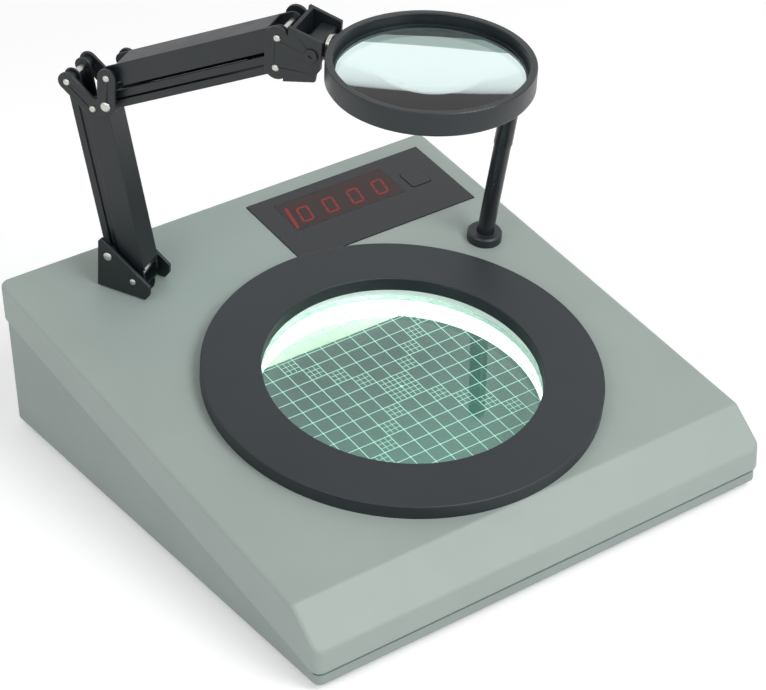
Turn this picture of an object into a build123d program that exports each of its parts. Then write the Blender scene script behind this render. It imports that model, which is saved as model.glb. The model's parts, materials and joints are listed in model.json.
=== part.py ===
from math import asin, atan2, cos, degrees, radians, sin, sqrt, tan
import os

from build123d import *

os.makedirs("parts", exist_ok=True)

# Case, millimetres, +Z up, +Y to the back, origin on the bench under the case's centre
CASE_W = 302.0
CASE_D = 320.0
BACK_Z = 97.4
TOP_TILT = 9.85
CHAMFER_RUN = 20.6
CHAMFER_FOOT_Z = 26.3
SEAM_FRONT_Z = 10.5
SEAM_BACK_Z = 72.4
WALL = 3.0
CORNER_R = 6.0
EDGE_R = 3.0
SEAM_GAP = 0.5
SKIRT_STEP = 1.5
LIP_H = 5.0
LIP_CLEAR = 0.2
LIP_WALL = 1.3
FOOT_H = 4.0
FOOT_R = 8.0
FOOT_INSET = 24.0
PLUG_R = 3.0
NOTCH_W = 38.0
NOTCH_H = 2.0
PILLAR_R = 4.5
PILLAR_INSET = 14.0
PILLAR_SPLIT = 5.0
CASE_SCREW_R = 1.75
CASE_SCREW_HEAD_R = 3.5
CASE_SCREW_BITE = 8.0

# Well, measured from the top face of the cover at the well's centre
PANEL_STRIP = 77.9
TOP_L = (CASE_D - CHAMFER_RUN) / cos(radians(TOP_TILT))
BEZEL_R = (TOP_L - PANEL_STRIP) / 2
WELL_TO_BACK = TOP_L - BEZEL_R - 0.3
BEZEL_RIM = 34.0
BEZEL_INNER_R = BEZEL_R - BEZEL_RIM
BEZEL_H = 8.5
BEZEL_EDGE = 0.8
COVER_HOLE_R = BEZEL_INNER_R + 6.2
GLASS_R = BEZEL_INNER_R + 2.8
GLASS_T = 3.0
GLASS_DEPTH = 5.7
CARRIER_R = COVER_HOLE_R - 0.8
CARRIER_LIP_R = BEZEL_INNER_R + 1.0
CARRIER_LIP_T = 1.0
CARRIER_TOP_GAP = 0.4
PRESS_TRAVEL = 0.6
DIFFUSER_R = BEZEL_INNER_R + 2.6
DIFFUSER_WALL = 2.0
DIFFUSER_GAP = 1.2
WELL_DEPTH = 22.8
DARK_T = 1.5
DARK_CHORD = 0.84
PEG_R = 1.3
PEG_LEN = 8.0
PEG_RING_R = CARRIER_R + 2.5
SPRING_R = 2.2
SPRING_WIRE = 0.5
LAMP_TUBE_R = 7.5
LAMP_GAP = 0.4
LAMP_R = PEG_RING_R + SPRING_R + LAMP_GAP + LAMP_TUBE_R
LAMP_DEPTH = 14.0
LAMP_ARC = 334.0
LAMP_START = 10.0
CLIP_T = 0.8
CLIP_ARC = 6.0
CLIP_CLEAR = 0.1
CAP_SIZE = 17.0
CAP_ARC = 24.0
PAN_T = 1.2
PAN_R = LAMP_R + LAMP_TUBE_R + CLIP_CLEAR + CLIP_T + PAN_T + 0.4
PAN_TAB_R = BEZEL_R + 1.0
PAN_TAB_W = 14.0
PAN_SCREW_R = BEZEL_R - 2.6
M3_R = 1.5
M3_HEAD_R = 2.8
M3_HEAD_H = 2.0
M3_CLEAR = 0.1
M2_R = 1.0
M2_HEAD_R = 1.9
M2_HEAD_H = 1.4
BEZEL_THREAD = 6.0
SWITCH_ANGLE = 240.0
SWITCH_SIZE = 4.2
SWITCH_H = 3.4
PLUNGER_R = 0.9
PLUNGER_H = 0.6

# Display panel, on the cover to the right of the arm
PANEL_W = 127.2
PANEL_L = 61.4
PANEL_X = CASE_W / 2 - 76.4
PANEL_Y = BEZEL_R + PANEL_L / 2 + 2.7
PANEL_T = 1.6
PANEL_PROUD = 0.6
PANEL_CLEAR = 0.2
WINDOW_W = 79.0
WINDOW_L = 27.0
WINDOW_X = PANEL_X - 9.6
WINDOW_Y = PANEL_Y + 9.1
DIGIT_W = 8.6
DIGIT_L = 14.0
DIGIT_PITCH = 18.4
DIGIT_X = PANEL_X - 35.6
DIGIT_Y = PANEL_Y + 8.2
DIGIT_SLANT = 12.0
DIGIT_COUNT = 4
STROKE = 1.3
BAR_X = PANEL_X - 45.2
BAR_L = 21.0
LIT_T = 0.15
MODULE_H = 8.0
BOARD_T = 1.6
BOARD_W = PANEL_W - 15.2
BOARD_L = PANEL_L - 11.4
POST_R = 3.0
KEY_W = 14.2
KEY_L = 14.8
KEY_X = PANEL_X + 43.6
KEY_Y = PANEL_Y + 3.6
KEY_PROUD = 0.3
KEY_CLEAR = 0.3
KEY_R = 2.0
KEY_FLANGE = 1.4
KEY_STEM_R = 2.4
KEY_TRAVEL = 0.5
TACT_SIZE = 6.0
TACT_H = 3.4
TACT_PLUNGER_R = 1.7
TACT_PLUNGER_H = 0.9

# Magnifier arm, in its own plane: a runs along the arm from the swivel axis, h above the cover
SWIVEL_X = 67.3 - CASE_W / 2
SWIVEL_Y = PANEL_Y + 3.5
ARM_YAW = -59.4
PLATE_T = 2.0
PLATE_HALF = 13.05
BUSH_FLANGE_T = 0.6
BUSH_FLANGE_R = 12.0
BRACKET_LIFT = 0.7
REAR_PIVOT = (-10.4, 23.0)
PIVOT_STEP = (16.3, -12.3)
LOWER_LEN = 114.0
LOWER_ANGLE = 103.3
ELBOW_STEP = (24.5, 10.3)
UPPER_DROP = 18.3
UPPER_LEN = 116.0
UPPER_ANGLE = 30.45
ELBOW_LOBE_R = 5.5
HEAD_LOBE_R = 6.8
SHEET_T = 1.2
OUTER_HALF = 8.2
INNER_HALF = 6.3
LINK_END_R = 5.1
FRONT_LINK_BACK = 6.3
OUTER_REACH = 8.0
INNER_REACH = 5.0
WEB_START = 6.5
REACH_START = 5.0
PIN_R = 2.0
PIN_CLEAR = 0.06
SLEEVE_R = 3.5
SLEEVE_GAP = 0.2
RIVET_R = 1.9
RIVET_H = 0.9
BIG_HEAD_R = 3.1
BIG_HEAD_H = 1.6
ARM_SPRING_R = 3.3
ARM_SPRING_BORE = 2.1
ARM_SPRING_END = 20.0
HOOK_R = 0.9
SPRING_POST_R = 1.5
SWIVEL_BOLT_R = 2.95
SWIVEL_HEAD_R = 5.0
SWIVEL_HEAD_H = 2.8
BUSH_WALL = 1.5
BUSH_CLEAR = 0.05
DOUBLER_W = 64.0
DOUBLER_L = 46.0
DOUBLER_T = 2.0
NUT_H = 4.0
NUT_GAP = 0.2

# Magnifier head
TILT_STEP = (19.7, -4.3)
HEAD_NOSE = 5.7
HEAD_WEB_STEP = 7.2
TILT_REST = 3.5
ROLL_REST = 3.04
BLOCK_BACK = 6.0
BLOCK_FRONT = 4.0
BLOCK_R = 1.5
BLOCK_HALF_H = 6.0
BLOCK_SIDE_GAP = 0.4
TILT_PIN_R = 2.5
TILT_PIN_INNER = 5.0
TILT_HEAD_R = 4.0
TILT_HEAD_H = 1.0
STEM_R = 3.0
COLLAR_R = 6.8
COLLAR_T = 2.2
COLLAR_GAP = 0.3
STEM_NUT_R = 4.0
STEM_NUT_T = 2.2
LENS_RING_R = 54.5
LENS_RING_WALL = 4.0
LENS_RING_TOP = 6.4
LENS_RING_BOTTOM = 7.0
LENS_R = 50.2
LENS_EDGE = 2.4
LENS_DROP = 1.8
LENS_CURVE_R = 315.0
LENS_SEAT_R = 48.6
LENS_GAP = 0.28
RETAINER_W = 1.5
RETAINER_T = 1.2
RING_REACH = 7.1

# Marker pen and its holder
PEN_TURN = 34.0
PEN_TO_BEZEL = 30.0
PEN_X = (BEZEL_R + PEN_TO_BEZEL) * cos(radians(PEN_TURN))
PEN_Y = (BEZEL_R + PEN_TO_BEZEL) * sin(radians(PEN_TURN))
PEN_LEAN = 5.0
HOLDER_R = 10.5
HOLDER_H = 6.0
HOLDER_FLOOR = 1.4
HOLDER_STUD_R = 2.5
HOLDER_STUD_L = 7.0
HOLDER_SNAP_R = 3.2
HOLDER_SNAP_L = 3.0
BARREL_R = 5.1
BARREL_LEN = 67.0
PEN_CLEAR = 0.3
PEN_NECK_R = 4.0
PEN_NECK_LEN = 12.0
NIB_R = 1.6
NIB_LEN = 9.0
CAP_R = 5.6
CAP_LEN = 66.0
CAP_WALL = 1.0

# Back panel and electrics
RECESS_X = CASE_W / 2 - 76.0
RECESS_W = 92.0
RECESS_Z = 31.0
RECESS_H = 40.0
RECESS_DEPTH = 7.0
INLET_X = RECESS_X + 23.0
INLET_W = 27.0
INLET_H = 19.6
INLET_DEPTH = 22.0
INLET_WALL = 1.7
INLET_PIN_W = 2.0
INLET_PIN_L = 4.0
FUSE_X = RECESS_X - 5.0
FUSE_R = 6.0
FUSE_CAP_R = 7.5
FUSE_CAP_H = 5.0
ROCKER_X = RECESS_X - 30.0
ROCKER_W = 9.4
ROCKER_HALF = 8.4
ROCKER_FRAME_W = 17.0
ROCKER_FRAME_H = 26.0
ROCKER_SIDE_GAP = 0.3
ROCKER_END_GAP = 0.9
ROCKER_DEPTH = 16.0
ROCKER_PROUD = 3.4
ROCKER_TILT = 8.0
ROCKER_PIN_R = 1.2
FLANGE_T = 1.5
FLANGE_RIM = 2.0
BALLAST_X = 59.0 - CASE_W / 2
BALLAST_Y = CASE_D / 2 - 72.0
BALLAST_W = 74.0
BALLAST_L = 40.0
BALLAST_H = 30.0
BALLAST_COIL_W = 44.0
BALLAST_COIL_L = 48.0
BALLAST_COIL_H = 16.0
BALLAST_FOOT = 9.0
MAIN_X = CASE_W / 2 - 89.0
MAIN_Y = CASE_D / 2 - 68.0
MAIN_W = 104.0
MAIN_L = 64.0
CORE_W = 34.0
CORE_L = 28.0
CORE_H = 24.0
CORE_STEP = 25.0
CAN_R = 6.0
CAN_H = 18.0
CAN_STEP = 14.0
CHIP_W = 16.0
CHIP_L = 8.0
CHIP_H = 4.0
CHIP_STEP = 32.0
STANDOFF_R = 3.5
STANDOFF_H = 6.0
VENT_W = 3.0
VENT_H = 22.0
VENT_PITCH = 8.0
VENT_COUNT = 7
VENT_X = 61.0 - CASE_W / 2
VENT_Z = 34.0

# Derived levels and planes
tilt = radians(TOP_TILT)
front_y = -CASE_D / 2
back_y = CASE_D / 2
floor_top = FOOT_H + WALL
chamfer_y = front_y + CHAMFER_RUN
chamfer_z = BACK_Z - (back_y - chamfer_y) * tan(tilt)
seam_slope = (SEAM_BACK_Z - SEAM_FRONT_Z) / CASE_D


def seam_z(y):
    """Height of the cover's lower edge at depth y."""
    return SEAM_FRONT_Z + (y - front_y) * seam_slope


TOP = Plane(
    origin=(0, back_y - WELL_TO_BACK * cos(tilt), BACK_Z - WELL_TO_BACK * sin(tilt)),
    x_dir=(1, 0, 0),
    z_dir=(0, -sin(tilt), cos(tilt)),
)
WELL_AXIS = Axis(TOP.origin, TOP.z_dir)


def on_top(x, y, h=0.0):
    """Point of the cover's top face at x, y from the well's centre, h above it."""
    return TOP.from_local_coords(Vector(x, y, h))


def well_section(angle):
    """Radial plane of the well: local x is the radius, local y the height."""
    turn = radians(angle)
    out = TOP.x_dir * cos(turn) + TOP.y_dir * sin(turn)
    return Plane(origin=TOP.origin, x_dir=out, z_dir=out.cross(TOP.z_dir))


def finish(piece, name):
    """Label a finished piece and write its STEP file."""
    piece.part.label = name
    export_step(piece.part, f"parts/{name}.step")


def cover_profile(drop):
    """Side outline of the cover with its lower edge let down by drop."""
    Polygon(
        (front_y, SEAM_FRONT_Z - drop),
        (front_y, CHAMFER_FOOT_Z),
        (chamfer_y, chamfer_z),
        (back_y, BACK_Z),
        (back_y, SEAM_BACK_Z - drop),
        align=None,
    )


# Top cover
pillar_spots = [
    (sx * (CASE_W / 2 - PILLAR_INSET), sy * (CASE_D / 2 - PILLAR_INSET))
    for sx in (-1, 1)
    for sy in (-1, 1)
]
panel_bottom = PANEL_PROUD - PANEL_T
key_flange_w = KEY_W + 2 * KEY_FLANGE
key_flange_l = KEY_L + 2 * KEY_FLANGE
module_face = panel_bottom - 0.05 - LIT_T
board_top = module_face - MODULE_H
board_spots = [
    (PANEL_X + sx * (BOARD_W / 2 - 2.5), PANEL_Y + sy * (BOARD_L / 2 - 2.5))
    for sx in (-1, 1)
    for sy in (-1, 1)
]

with BuildPart() as cover_inside:
    with BuildSketch(Plane.YZ.offset(-CASE_W / 2 + WALL)):
        cover_profile(4 * WALL)
        offset(amount=-WALL, kind=Kind.INTERSECTION, mode=Mode.REPLACE)
    extrude(amount=CASE_W - 2 * WALL)
    for spot in pillar_spots:
        with BuildSketch(Plane.XY.offset(seam_z(spot[1]) + PILLAR_SPLIT)):
            with Locations(spot):
                Circle(PILLAR_R)
        extrude(amount=BACK_Z, mode=Mode.SUBTRACT)

with BuildPart() as top_cover:
    with BuildSketch(Plane.YZ.offset(-CASE_W / 2)):
        cover_profile(0)
    extrude(amount=CASE_W)
    fillet(top_cover.edges().filter_by(Axis.Z), CORNER_R)
    rim = top_cover.edges().filter_by(lambda e: e.center().Z > CHAMFER_FOOT_Z - 1.0)
    lower = top_cover.edges().filter_by(Axis.Z)
    fillet([e for e in rim if e not in lower], EDGE_R)
    add(cover_inside.part, mode=Mode.SUBTRACT)
    for spot in pillar_spots:
        with BuildSketch(Plane.XY.offset(seam_z(spot[1]) + PILLAR_SPLIT)):
            with Locations(spot):
                Circle(CASE_SCREW_R)
        extrude(amount=CASE_SCREW_BITE, mode=Mode.SUBTRACT)
    with BuildSketch(TOP.offset(-2 * WALL)):
        Circle(COVER_HOLE_R)
        with PolarLocations(PAN_SCREW_R, 4, start_angle=45):
            Circle(M3_R + M3_CLEAR)
        with Locations((SWIVEL_X, SWIVEL_Y)):
            Circle(SWIVEL_BOLT_R + BUSH_CLEAR + BUSH_WALL)
        with Locations((PEN_X, PEN_Y)):
            Circle(HOLDER_STUD_R + M3_CLEAR)
        with Locations((WINDOW_X, WINDOW_Y)):
            Rectangle(WINDOW_W + 2 * PANEL_CLEAR, WINDOW_L + 2 * PANEL_CLEAR)
        with Locations((KEY_X, KEY_Y)):
            Rectangle(key_flange_w + 2 * KEY_CLEAR, key_flange_l + 2 * KEY_CLEAR)
    extrude(amount=3 * WALL, mode=Mode.SUBTRACT)
    with BuildSketch(TOP.offset(panel_bottom)):
        with Locations((PANEL_X, PANEL_Y)):
            Rectangle(PANEL_W + 2 * PANEL_CLEAR, PANEL_L + 2 * PANEL_CLEAR)
    extrude(amount=WALL, mode=Mode.SUBTRACT)
    with BuildSketch(Plane.XZ.offset(-front_y - WALL - 1)):
        with Locations((0, SEAM_FRONT_Z)):
            SlotOverall(NOTCH_W, 2 * NOTCH_H)
    extrude(amount=WALL + 2, mode=Mode.SUBTRACT)
    with BuildSketch(TOP.offset(-WALL)):
        with Locations(*board_spots):
            Circle(POST_R)
        with Locations(*board_spots):
            Circle(M2_R, mode=Mode.SUBTRACT)
    extrude(amount=board_top + WALL)
finish(top_cover, "top_cover")

# Base tray
tray_half_w = CASE_W / 2 - SKIRT_STEP
tray_half_d = CASE_D / 2 - SKIRT_STEP
lip_half_w = CASE_W / 2 - WALL - LIP_CLEAR
lip_half_d = CASE_D / 2 - WALL - LIP_CLEAR
panel_y = tray_half_d - RECESS_DEPTH
recess_inner_y = panel_y - WALL


main_low = floor_top + STANDOFF_H
main_top = main_low + BOARD_T
main_spots = [
    (MAIN_X + sx * (MAIN_W / 2 - 5), MAIN_Y + sy * (MAIN_L / 2 - 5))
    for sx in (-1, 1)
    for sy in (-1, 1)
]
ballast_spots = [(BALLAST_X + sx * (BALLAST_W + BALLAST_FOOT) / 2, BALLAST_Y) for sx in (-1, 1)]


def tray_profile(half_d, low, rise):
    """Side outline under the seam, rise above or below it."""
    Polygon(
        (-half_d, low),
        (-half_d, seam_z(-half_d) + rise),
        (half_d, seam_z(half_d) + rise),
        (half_d, low),
        align=None,
    )


with BuildPart() as base_tray:
    with BuildSketch(Plane.YZ.offset(-tray_half_w)):
        tray_profile(tray_half_d, FOOT_H, -SEAM_GAP)
    extrude(amount=2 * tray_half_w)
    fillet(base_tray.edges().filter_by(Axis.Z), CORNER_R - SKIRT_STEP)
    fillet(base_tray.faces().sort_by(Axis.Z)[0].edges(), SKIRT_STEP)
    with BuildSketch(Plane.YZ.offset(-lip_half_w)):
        tray_profile(lip_half_d, floor_top, LIP_H)
    extrude(amount=2 * lip_half_w)
    with BuildSketch(Plane.YZ.offset(-lip_half_w + LIP_WALL)):
        tray_profile(lip_half_d - LIP_WALL, floor_top, LIP_H + WALL)
    extrude(amount=2 * (lip_half_w - LIP_WALL), mode=Mode.SUBTRACT)
    with BuildSketch(Plane.XZ.offset(-tray_half_d + SKIRT_STEP)):
        with Locations((RECESS_X, RECESS_Z)):
            Rectangle(RECESS_W + 2 * WALL, RECESS_H + 2 * WALL)
    extrude(amount=tray_half_d - SKIRT_STEP - recess_inner_y)
    with BuildSketch(Plane.XZ.offset(-panel_y)):
        with Locations((RECESS_X, RECESS_Z)):
            Rectangle(RECESS_W, RECESS_H)
    extrude(amount=-2 * RECESS_DEPTH, mode=Mode.SUBTRACT)
    with BuildSketch(Plane.XZ.offset(-panel_y)):
        with Locations((INLET_X, RECESS_Z)):
            Rectangle(INLET_W + 2 * PANEL_CLEAR, INLET_H + 2 * PANEL_CLEAR)
        with Locations((FUSE_X, RECESS_Z)):
            Circle(FUSE_R + PANEL_CLEAR)
        with Locations((ROCKER_X, RECESS_Z)):
            Rectangle(
                ROCKER_FRAME_W - 2 * FLANGE_RIM + 2 * PANEL_CLEAR,
                ROCKER_FRAME_H - 2 * FLANGE_RIM + 2 * PANEL_CLEAR,
            )
    extrude(amount=2 * WALL, mode=Mode.SUBTRACT)
    with BuildSketch(Plane.XZ.offset(-tray_half_d - 1)):
        with Locations((VENT_X, VENT_Z)):
            with GridLocations(VENT_PITCH, VENT_H, VENT_COUNT, 1):
                SlotOverall(VENT_H, VENT_W, rotation=90)
    extrude(amount=2 * WALL, mode=Mode.SUBTRACT)
    for spot in pillar_spots:
        with BuildSketch(Plane.XY.offset(floor_top)):
            with Locations(spot):
                Circle(PILLAR_R)
        extrude(amount=seam_z(spot[1]) + PILLAR_SPLIT - floor_top)
        with BuildSketch(Plane.XY.offset(FOOT_H)):
            with Locations(spot):
                Circle(CASE_SCREW_R + M3_CLEAR)
        extrude(amount=BACK_Z, mode=Mode.SUBTRACT)
        with BuildSketch(Plane.XY.offset(FOOT_H)):
            with Locations(spot):
                Circle(CASE_SCREW_HEAD_R + M3_CLEAR)
        extrude(amount=WALL, mode=Mode.SUBTRACT)
    foot_spots = [
        (sx * (CASE_W / 2 - FOOT_INSET - FOOT_R), sy * (CASE_D / 2 - FOOT_INSET - FOOT_R))
        for sx in (-1, 1)
        for sy in (-1, 1)
    ]
    with BuildSketch(Plane.XY.offset(FOOT_H)):
        with Locations(*foot_spots):
            Circle(PLUG_R)
    extrude(amount=WALL, mode=Mode.SUBTRACT)
    with BuildSketch(Plane.XY.offset(floor_top)):
        with Locations(*main_spots):
            Circle(STANDOFF_R)
    extrude(amount=STANDOFF_H)
    with BuildSketch(Plane.XY.offset(FOOT_H + 1)):
        with Locations(*main_spots, *ballast_spots):
            Circle(M3_R)
    extrude(amount=WALL + STANDOFF_H, mode=Mode.SUBTRACT)
finish(base_tray, "base_tray")

# Rubber feet
with BuildPart() as rubber_feet:
    with BuildSketch():
        with Locations(*foot_spots):
            Circle(FOOT_R)
    extrude(amount=FOOT_H, taper=4)
    with BuildSketch(Plane.XY.offset(FOOT_H)):
        with Locations(*foot_spots):
            Circle(PLUG_R)
    extrude(amount=WALL)
finish(rubber_feet, "rubber_feet")

# Screws driven from below through the pillars, and from above into the tray floor
with BuildPart() as base_screws:
    for spot in pillar_spots:
        with BuildSketch(Plane.XY.offset(floor_top)):
            with Locations(spot):
                Circle(CASE_SCREW_R)
        extrude(amount=seam_z(spot[1]) + PILLAR_SPLIT + CASE_SCREW_BITE - 1 - floor_top)
        with BuildSketch(Plane.XY.offset(floor_top - M3_HEAD_H)):
            with Locations(spot):
                Circle(CASE_SCREW_HEAD_R)
        extrude(amount=M3_HEAD_H)
    for spots, seat in ((main_spots, main_top), (ballast_spots, floor_top + PAN_T)):
        with BuildSketch(Plane.XY.offset(FOOT_H + 1.5)):
            with Locations(*spots):
                Circle(M3_R)
        extrude(amount=seat - FOOT_H - 1.5)
        with BuildSketch(Plane.XY.offset(seat)):
            with Locations(*spots):
                Circle(M3_HEAD_R)
        extrude(amount=M3_HEAD_H)
finish(base_screws, "base_screws")

# Bezel ring round the well
with BuildPart() as bezel_ring:
    with BuildSketch(TOP):
        Circle(BEZEL_R)
        Circle(BEZEL_INNER_R, mode=Mode.SUBTRACT)
    extrude(amount=BEZEL_H)
    top_face = bezel_ring.faces().filter_by(GeomType.PLANE).sort_by(WELL_AXIS)[-1]
    fillet(top_face.edges(), BEZEL_EDGE)
    with BuildSketch(TOP):
        with PolarLocations(PAN_SCREW_R, 4, start_angle=45):
            Circle(M3_R)
    extrude(amount=BEZEL_THREAD, mode=Mode.SUBTRACT)
finish(bezel_ring, "bezel_ring")

# Light pan, with the tabs that hang it under the cover
pan_inner_r = PAN_R - PAN_T
pan_floor = -(WELL_DEPTH + DARK_T)
with BuildPart() as light_pan:
    with BuildSketch(well_section(0)):
        Polygon(
            (0, pan_floor),
            (pan_inner_r, pan_floor),
            (pan_inner_r, -WALL),
            (PAN_R, -WALL),
            (PAN_R, pan_floor - PAN_T),
            (0, pan_floor - PAN_T),
            align=None,
        )
    revolve(axis=WELL_AXIS)
    with BuildSketch(TOP.offset(-WALL)):
        with PolarLocations((pan_inner_r + PAN_TAB_R) / 2, 4, start_angle=45):
            Rectangle(PAN_TAB_R - pan_inner_r, PAN_TAB_W)
        with PolarLocations(PAN_SCREW_R, 4, start_angle=45):
            Circle(M3_R + M3_CLEAR, mode=Mode.SUBTRACT)
    extrude(amount=-PAN_T)
finish(light_pan, "light_pan")

# Screws through pan and cover into the bezel
with BuildPart() as bezel_screws:
    with BuildSketch(TOP.offset(-WALL - PAN_T)):
        with PolarLocations(PAN_SCREW_R, 4, start_angle=45):
            Circle(M3_R)
    extrude(amount=WALL + PAN_T + BEZEL_THREAD - 1)
    with BuildSketch(TOP.offset(-WALL - PAN_T)):
        with PolarLocations(PAN_SCREW_R, 4, start_angle=45):
            Circle(M3_HEAD_R)
    extrude(amount=-M3_HEAD_H)
finish(bezel_screws, "bezel_screws")

# Dark field plate and the white diffuser wall
with BuildPart() as dark_plate:
    with BuildSketch(TOP.offset(pan_floor)):
        Circle(DIFFUSER_R - PANEL_CLEAR)
        with Locations((0, DARK_CHORD * BEZEL_INNER_R)):
            Rectangle(
                2 * DIFFUSER_R, DIFFUSER_R, align=(Align.CENTER, Align.MIN), mode=Mode.SUBTRACT
            )
    extrude(amount=DARK_T)
finish(dark_plate, "dark_plate")

carrier_top = -CARRIER_TOP_GAP
glass_low = -(GLASS_DEPTH + GLASS_T)
carrier_low = glass_low - CARRIER_LIP_T
with BuildPart() as diffuser_wall:
    with BuildSketch(TOP.offset(pan_floor)):
        Circle(DIFFUSER_R + DIFFUSER_WALL)
        Circle(DIFFUSER_R, mode=Mode.SUBTRACT)
    extrude(amount=carrier_low - DIFFUSER_GAP - pan_floor)
finish(diffuser_wall, "diffuser_wall")

# Ring lamp, its cap and clips
with BuildPart() as ring_lamp:
    with BuildSketch(well_section(LAMP_START)):
        with Locations((LAMP_R, -LAMP_DEPTH)):
            Circle(LAMP_TUBE_R)
    revolve(axis=WELL_AXIS, revolution_arc=LAMP_ARC)
finish(ring_lamp, "ring_lamp")

with BuildPart() as lamp_cap:
    with BuildSketch(well_section(LAMP_START - (CAP_ARC + 360 - LAMP_ARC) / 2)):
        with Locations((LAMP_R - 0.4, -LAMP_DEPTH)):
            RectangleRounded(CAP_SIZE, CAP_SIZE, 3.0)
    revolve(axis=WELL_AXIS, revolution_arc=CAP_ARC)
finish(lamp_cap, "lamp_cap")

clip_r = LAMP_TUBE_R + CLIP_CLEAR
with BuildPart() as lamp_clips:
    for angle in (30, 120, 210, 270):
        with BuildSketch(well_section(angle)):
            with Locations((LAMP_R, -LAMP_DEPTH)):
                Circle(clip_r + CLIP_T)
                Circle(clip_r, mode=Mode.SUBTRACT)
                Rectangle(
                    3 * clip_r, 2 * clip_r, align=(Align.CENTER, Align.MIN), mode=Mode.SUBTRACT
                )
            with Locations((LAMP_R, (pan_floor - LAMP_DEPTH - clip_r) / 2)):
                Rectangle(4.0, abs(pan_floor + LAMP_DEPTH + clip_r))
        revolve(axis=WELL_AXIS, revolution_arc=CLIP_ARC)
finish(lamp_clips, "lamp_clips")

# Glass plate and its sprung carrier
with BuildPart() as glass_plate:
    with BuildSketch(TOP.offset(glass_low)):
        Circle(GLASS_R)
    extrude(amount=GLASS_T)
    chamfer(glass_plate.edges(), 0.3)
finish(glass_plate, "glass_plate")

peg_top = carrier_low + CARRIER_LIP_T
peg_angles = (60, 180, 300)
switch_top = pan_floor + SWITCH_H + PLUNGER_H
with BuildPart() as plate_carrier:
    with BuildSketch(well_section(0)):
        Polygon(
            (GLASS_R + PANEL_CLEAR, carrier_top),
            (CARRIER_R, carrier_top),
            (CARRIER_R, carrier_low),
            (CARRIER_LIP_R, carrier_low),
            (CARRIER_LIP_R, glass_low),
            (GLASS_R + PANEL_CLEAR, glass_low),
            align=None,
        )
    revolve(axis=WELL_AXIS)
    with BuildSketch(TOP.offset(carrier_low)):
        for angle in peg_angles + (SWITCH_ANGLE,):
            with PolarLocations(PEG_RING_R, 1, start_angle=angle):
                Circle(SPRING_R)
            with PolarLocations((PEG_RING_R + CARRIER_R - 1) / 2, 1, start_angle=angle):
                Rectangle(PEG_RING_R - CARRIER_R + 1, 2 * SPRING_R)
    extrude(amount=CARRIER_LIP_T)
    with BuildSketch(TOP.offset(carrier_low)):
        for angle in peg_angles:
            with PolarLocations(PEG_RING_R, 1, start_angle=angle):
                Circle(PEG_R)
    extrude(amount=-PEG_LEN)
    with BuildSketch(TOP.offset(carrier_low)):
        with PolarLocations(PEG_RING_R, 1, start_angle=SWITCH_ANGLE):
            Circle(PEG_R)
    extrude(amount=-(carrier_low - switch_top - PRESS_TRAVEL - 0.05))
finish(plate_carrier, "plate_carrier")

with BuildPart() as carrier_springs:
    with BuildSketch(TOP.offset(pan_floor)):
        for angle in peg_angles:
            with PolarLocations(PEG_RING_R, 1, start_angle=angle):
                Circle(SPRING_R)
                Circle(SPRING_R - SPRING_WIRE, mode=Mode.SUBTRACT)
    extrude(amount=carrier_low - PRESS_TRAVEL - 0.1 - pan_floor)
finish(carrier_springs, "carrier_springs")

with BuildPart() as count_switch:
    with BuildSketch(TOP.offset(pan_floor)):
        with PolarLocations(PEG_RING_R, 1, start_angle=SWITCH_ANGLE):
            Rectangle(SWITCH_SIZE, SWITCH_SIZE)
    extrude(amount=SWITCH_H)
    with BuildSketch(TOP.offset(pan_floor + SWITCH_H)):
        with PolarLocations(PEG_RING_R, 1, start_angle=SWITCH_ANGLE):
            Circle(PLUNGER_R)
    extrude(amount=PLUNGER_H)
finish(count_switch, "count_switch")

# Display panel, window, lit digits and boards
with BuildPart() as display_panel:
    with BuildSketch(TOP.offset(panel_bottom)):
        with Locations((PANEL_X, PANEL_Y)):
            Rectangle(PANEL_W, PANEL_L)
        with Locations((WINDOW_X, WINDOW_Y)):
            Rectangle(WINDOW_W, WINDOW_L, mode=Mode.SUBTRACT)
        with Locations((KEY_X, KEY_Y)):
            RectangleRounded(
                KEY_W + 2 * KEY_CLEAR, KEY_L + 2 * KEY_CLEAR, KEY_R, mode=Mode.SUBTRACT
            )
    extrude(amount=PANEL_T)
finish(display_panel, "display_panel")

with BuildPart() as display_window:
    with BuildSketch(TOP.offset(panel_bottom)):
        with Locations((WINDOW_X, WINDOW_Y)):
            Rectangle(WINDOW_W - 0.1, WINDOW_L - 0.1)
    extrude(amount=PANEL_T)
finish(display_window, "display_window")

with BuildPart() as display_module:
    with BuildSketch(TOP.offset(module_face)):
        with Locations((WINDOW_X, WINDOW_Y)):
            Rectangle(WINDOW_W, WINDOW_L)
    extrude(amount=-MODULE_H)
finish(display_module, "display_module")


def lit_bar(cx, cy, length, width, upright):
    """Outline of one lit stroke about cx, cy, leaning with the digits."""
    lean = tan(radians(DIGIT_SLANT))
    half, side = length / 2, width / 2
    flat = [
        (-half, 0),
        (-half + side, side),
        (half - side, side),
        (half, 0),
        (half - side, -side),
        (-half + side, -side),
    ]
    if upright:
        flat = [(-y, x) for x, y in flat]
    Polygon(*[(cx + x + lean * (cy + y - DIGIT_Y), cy + y) for x, y in flat], align=None)


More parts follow.
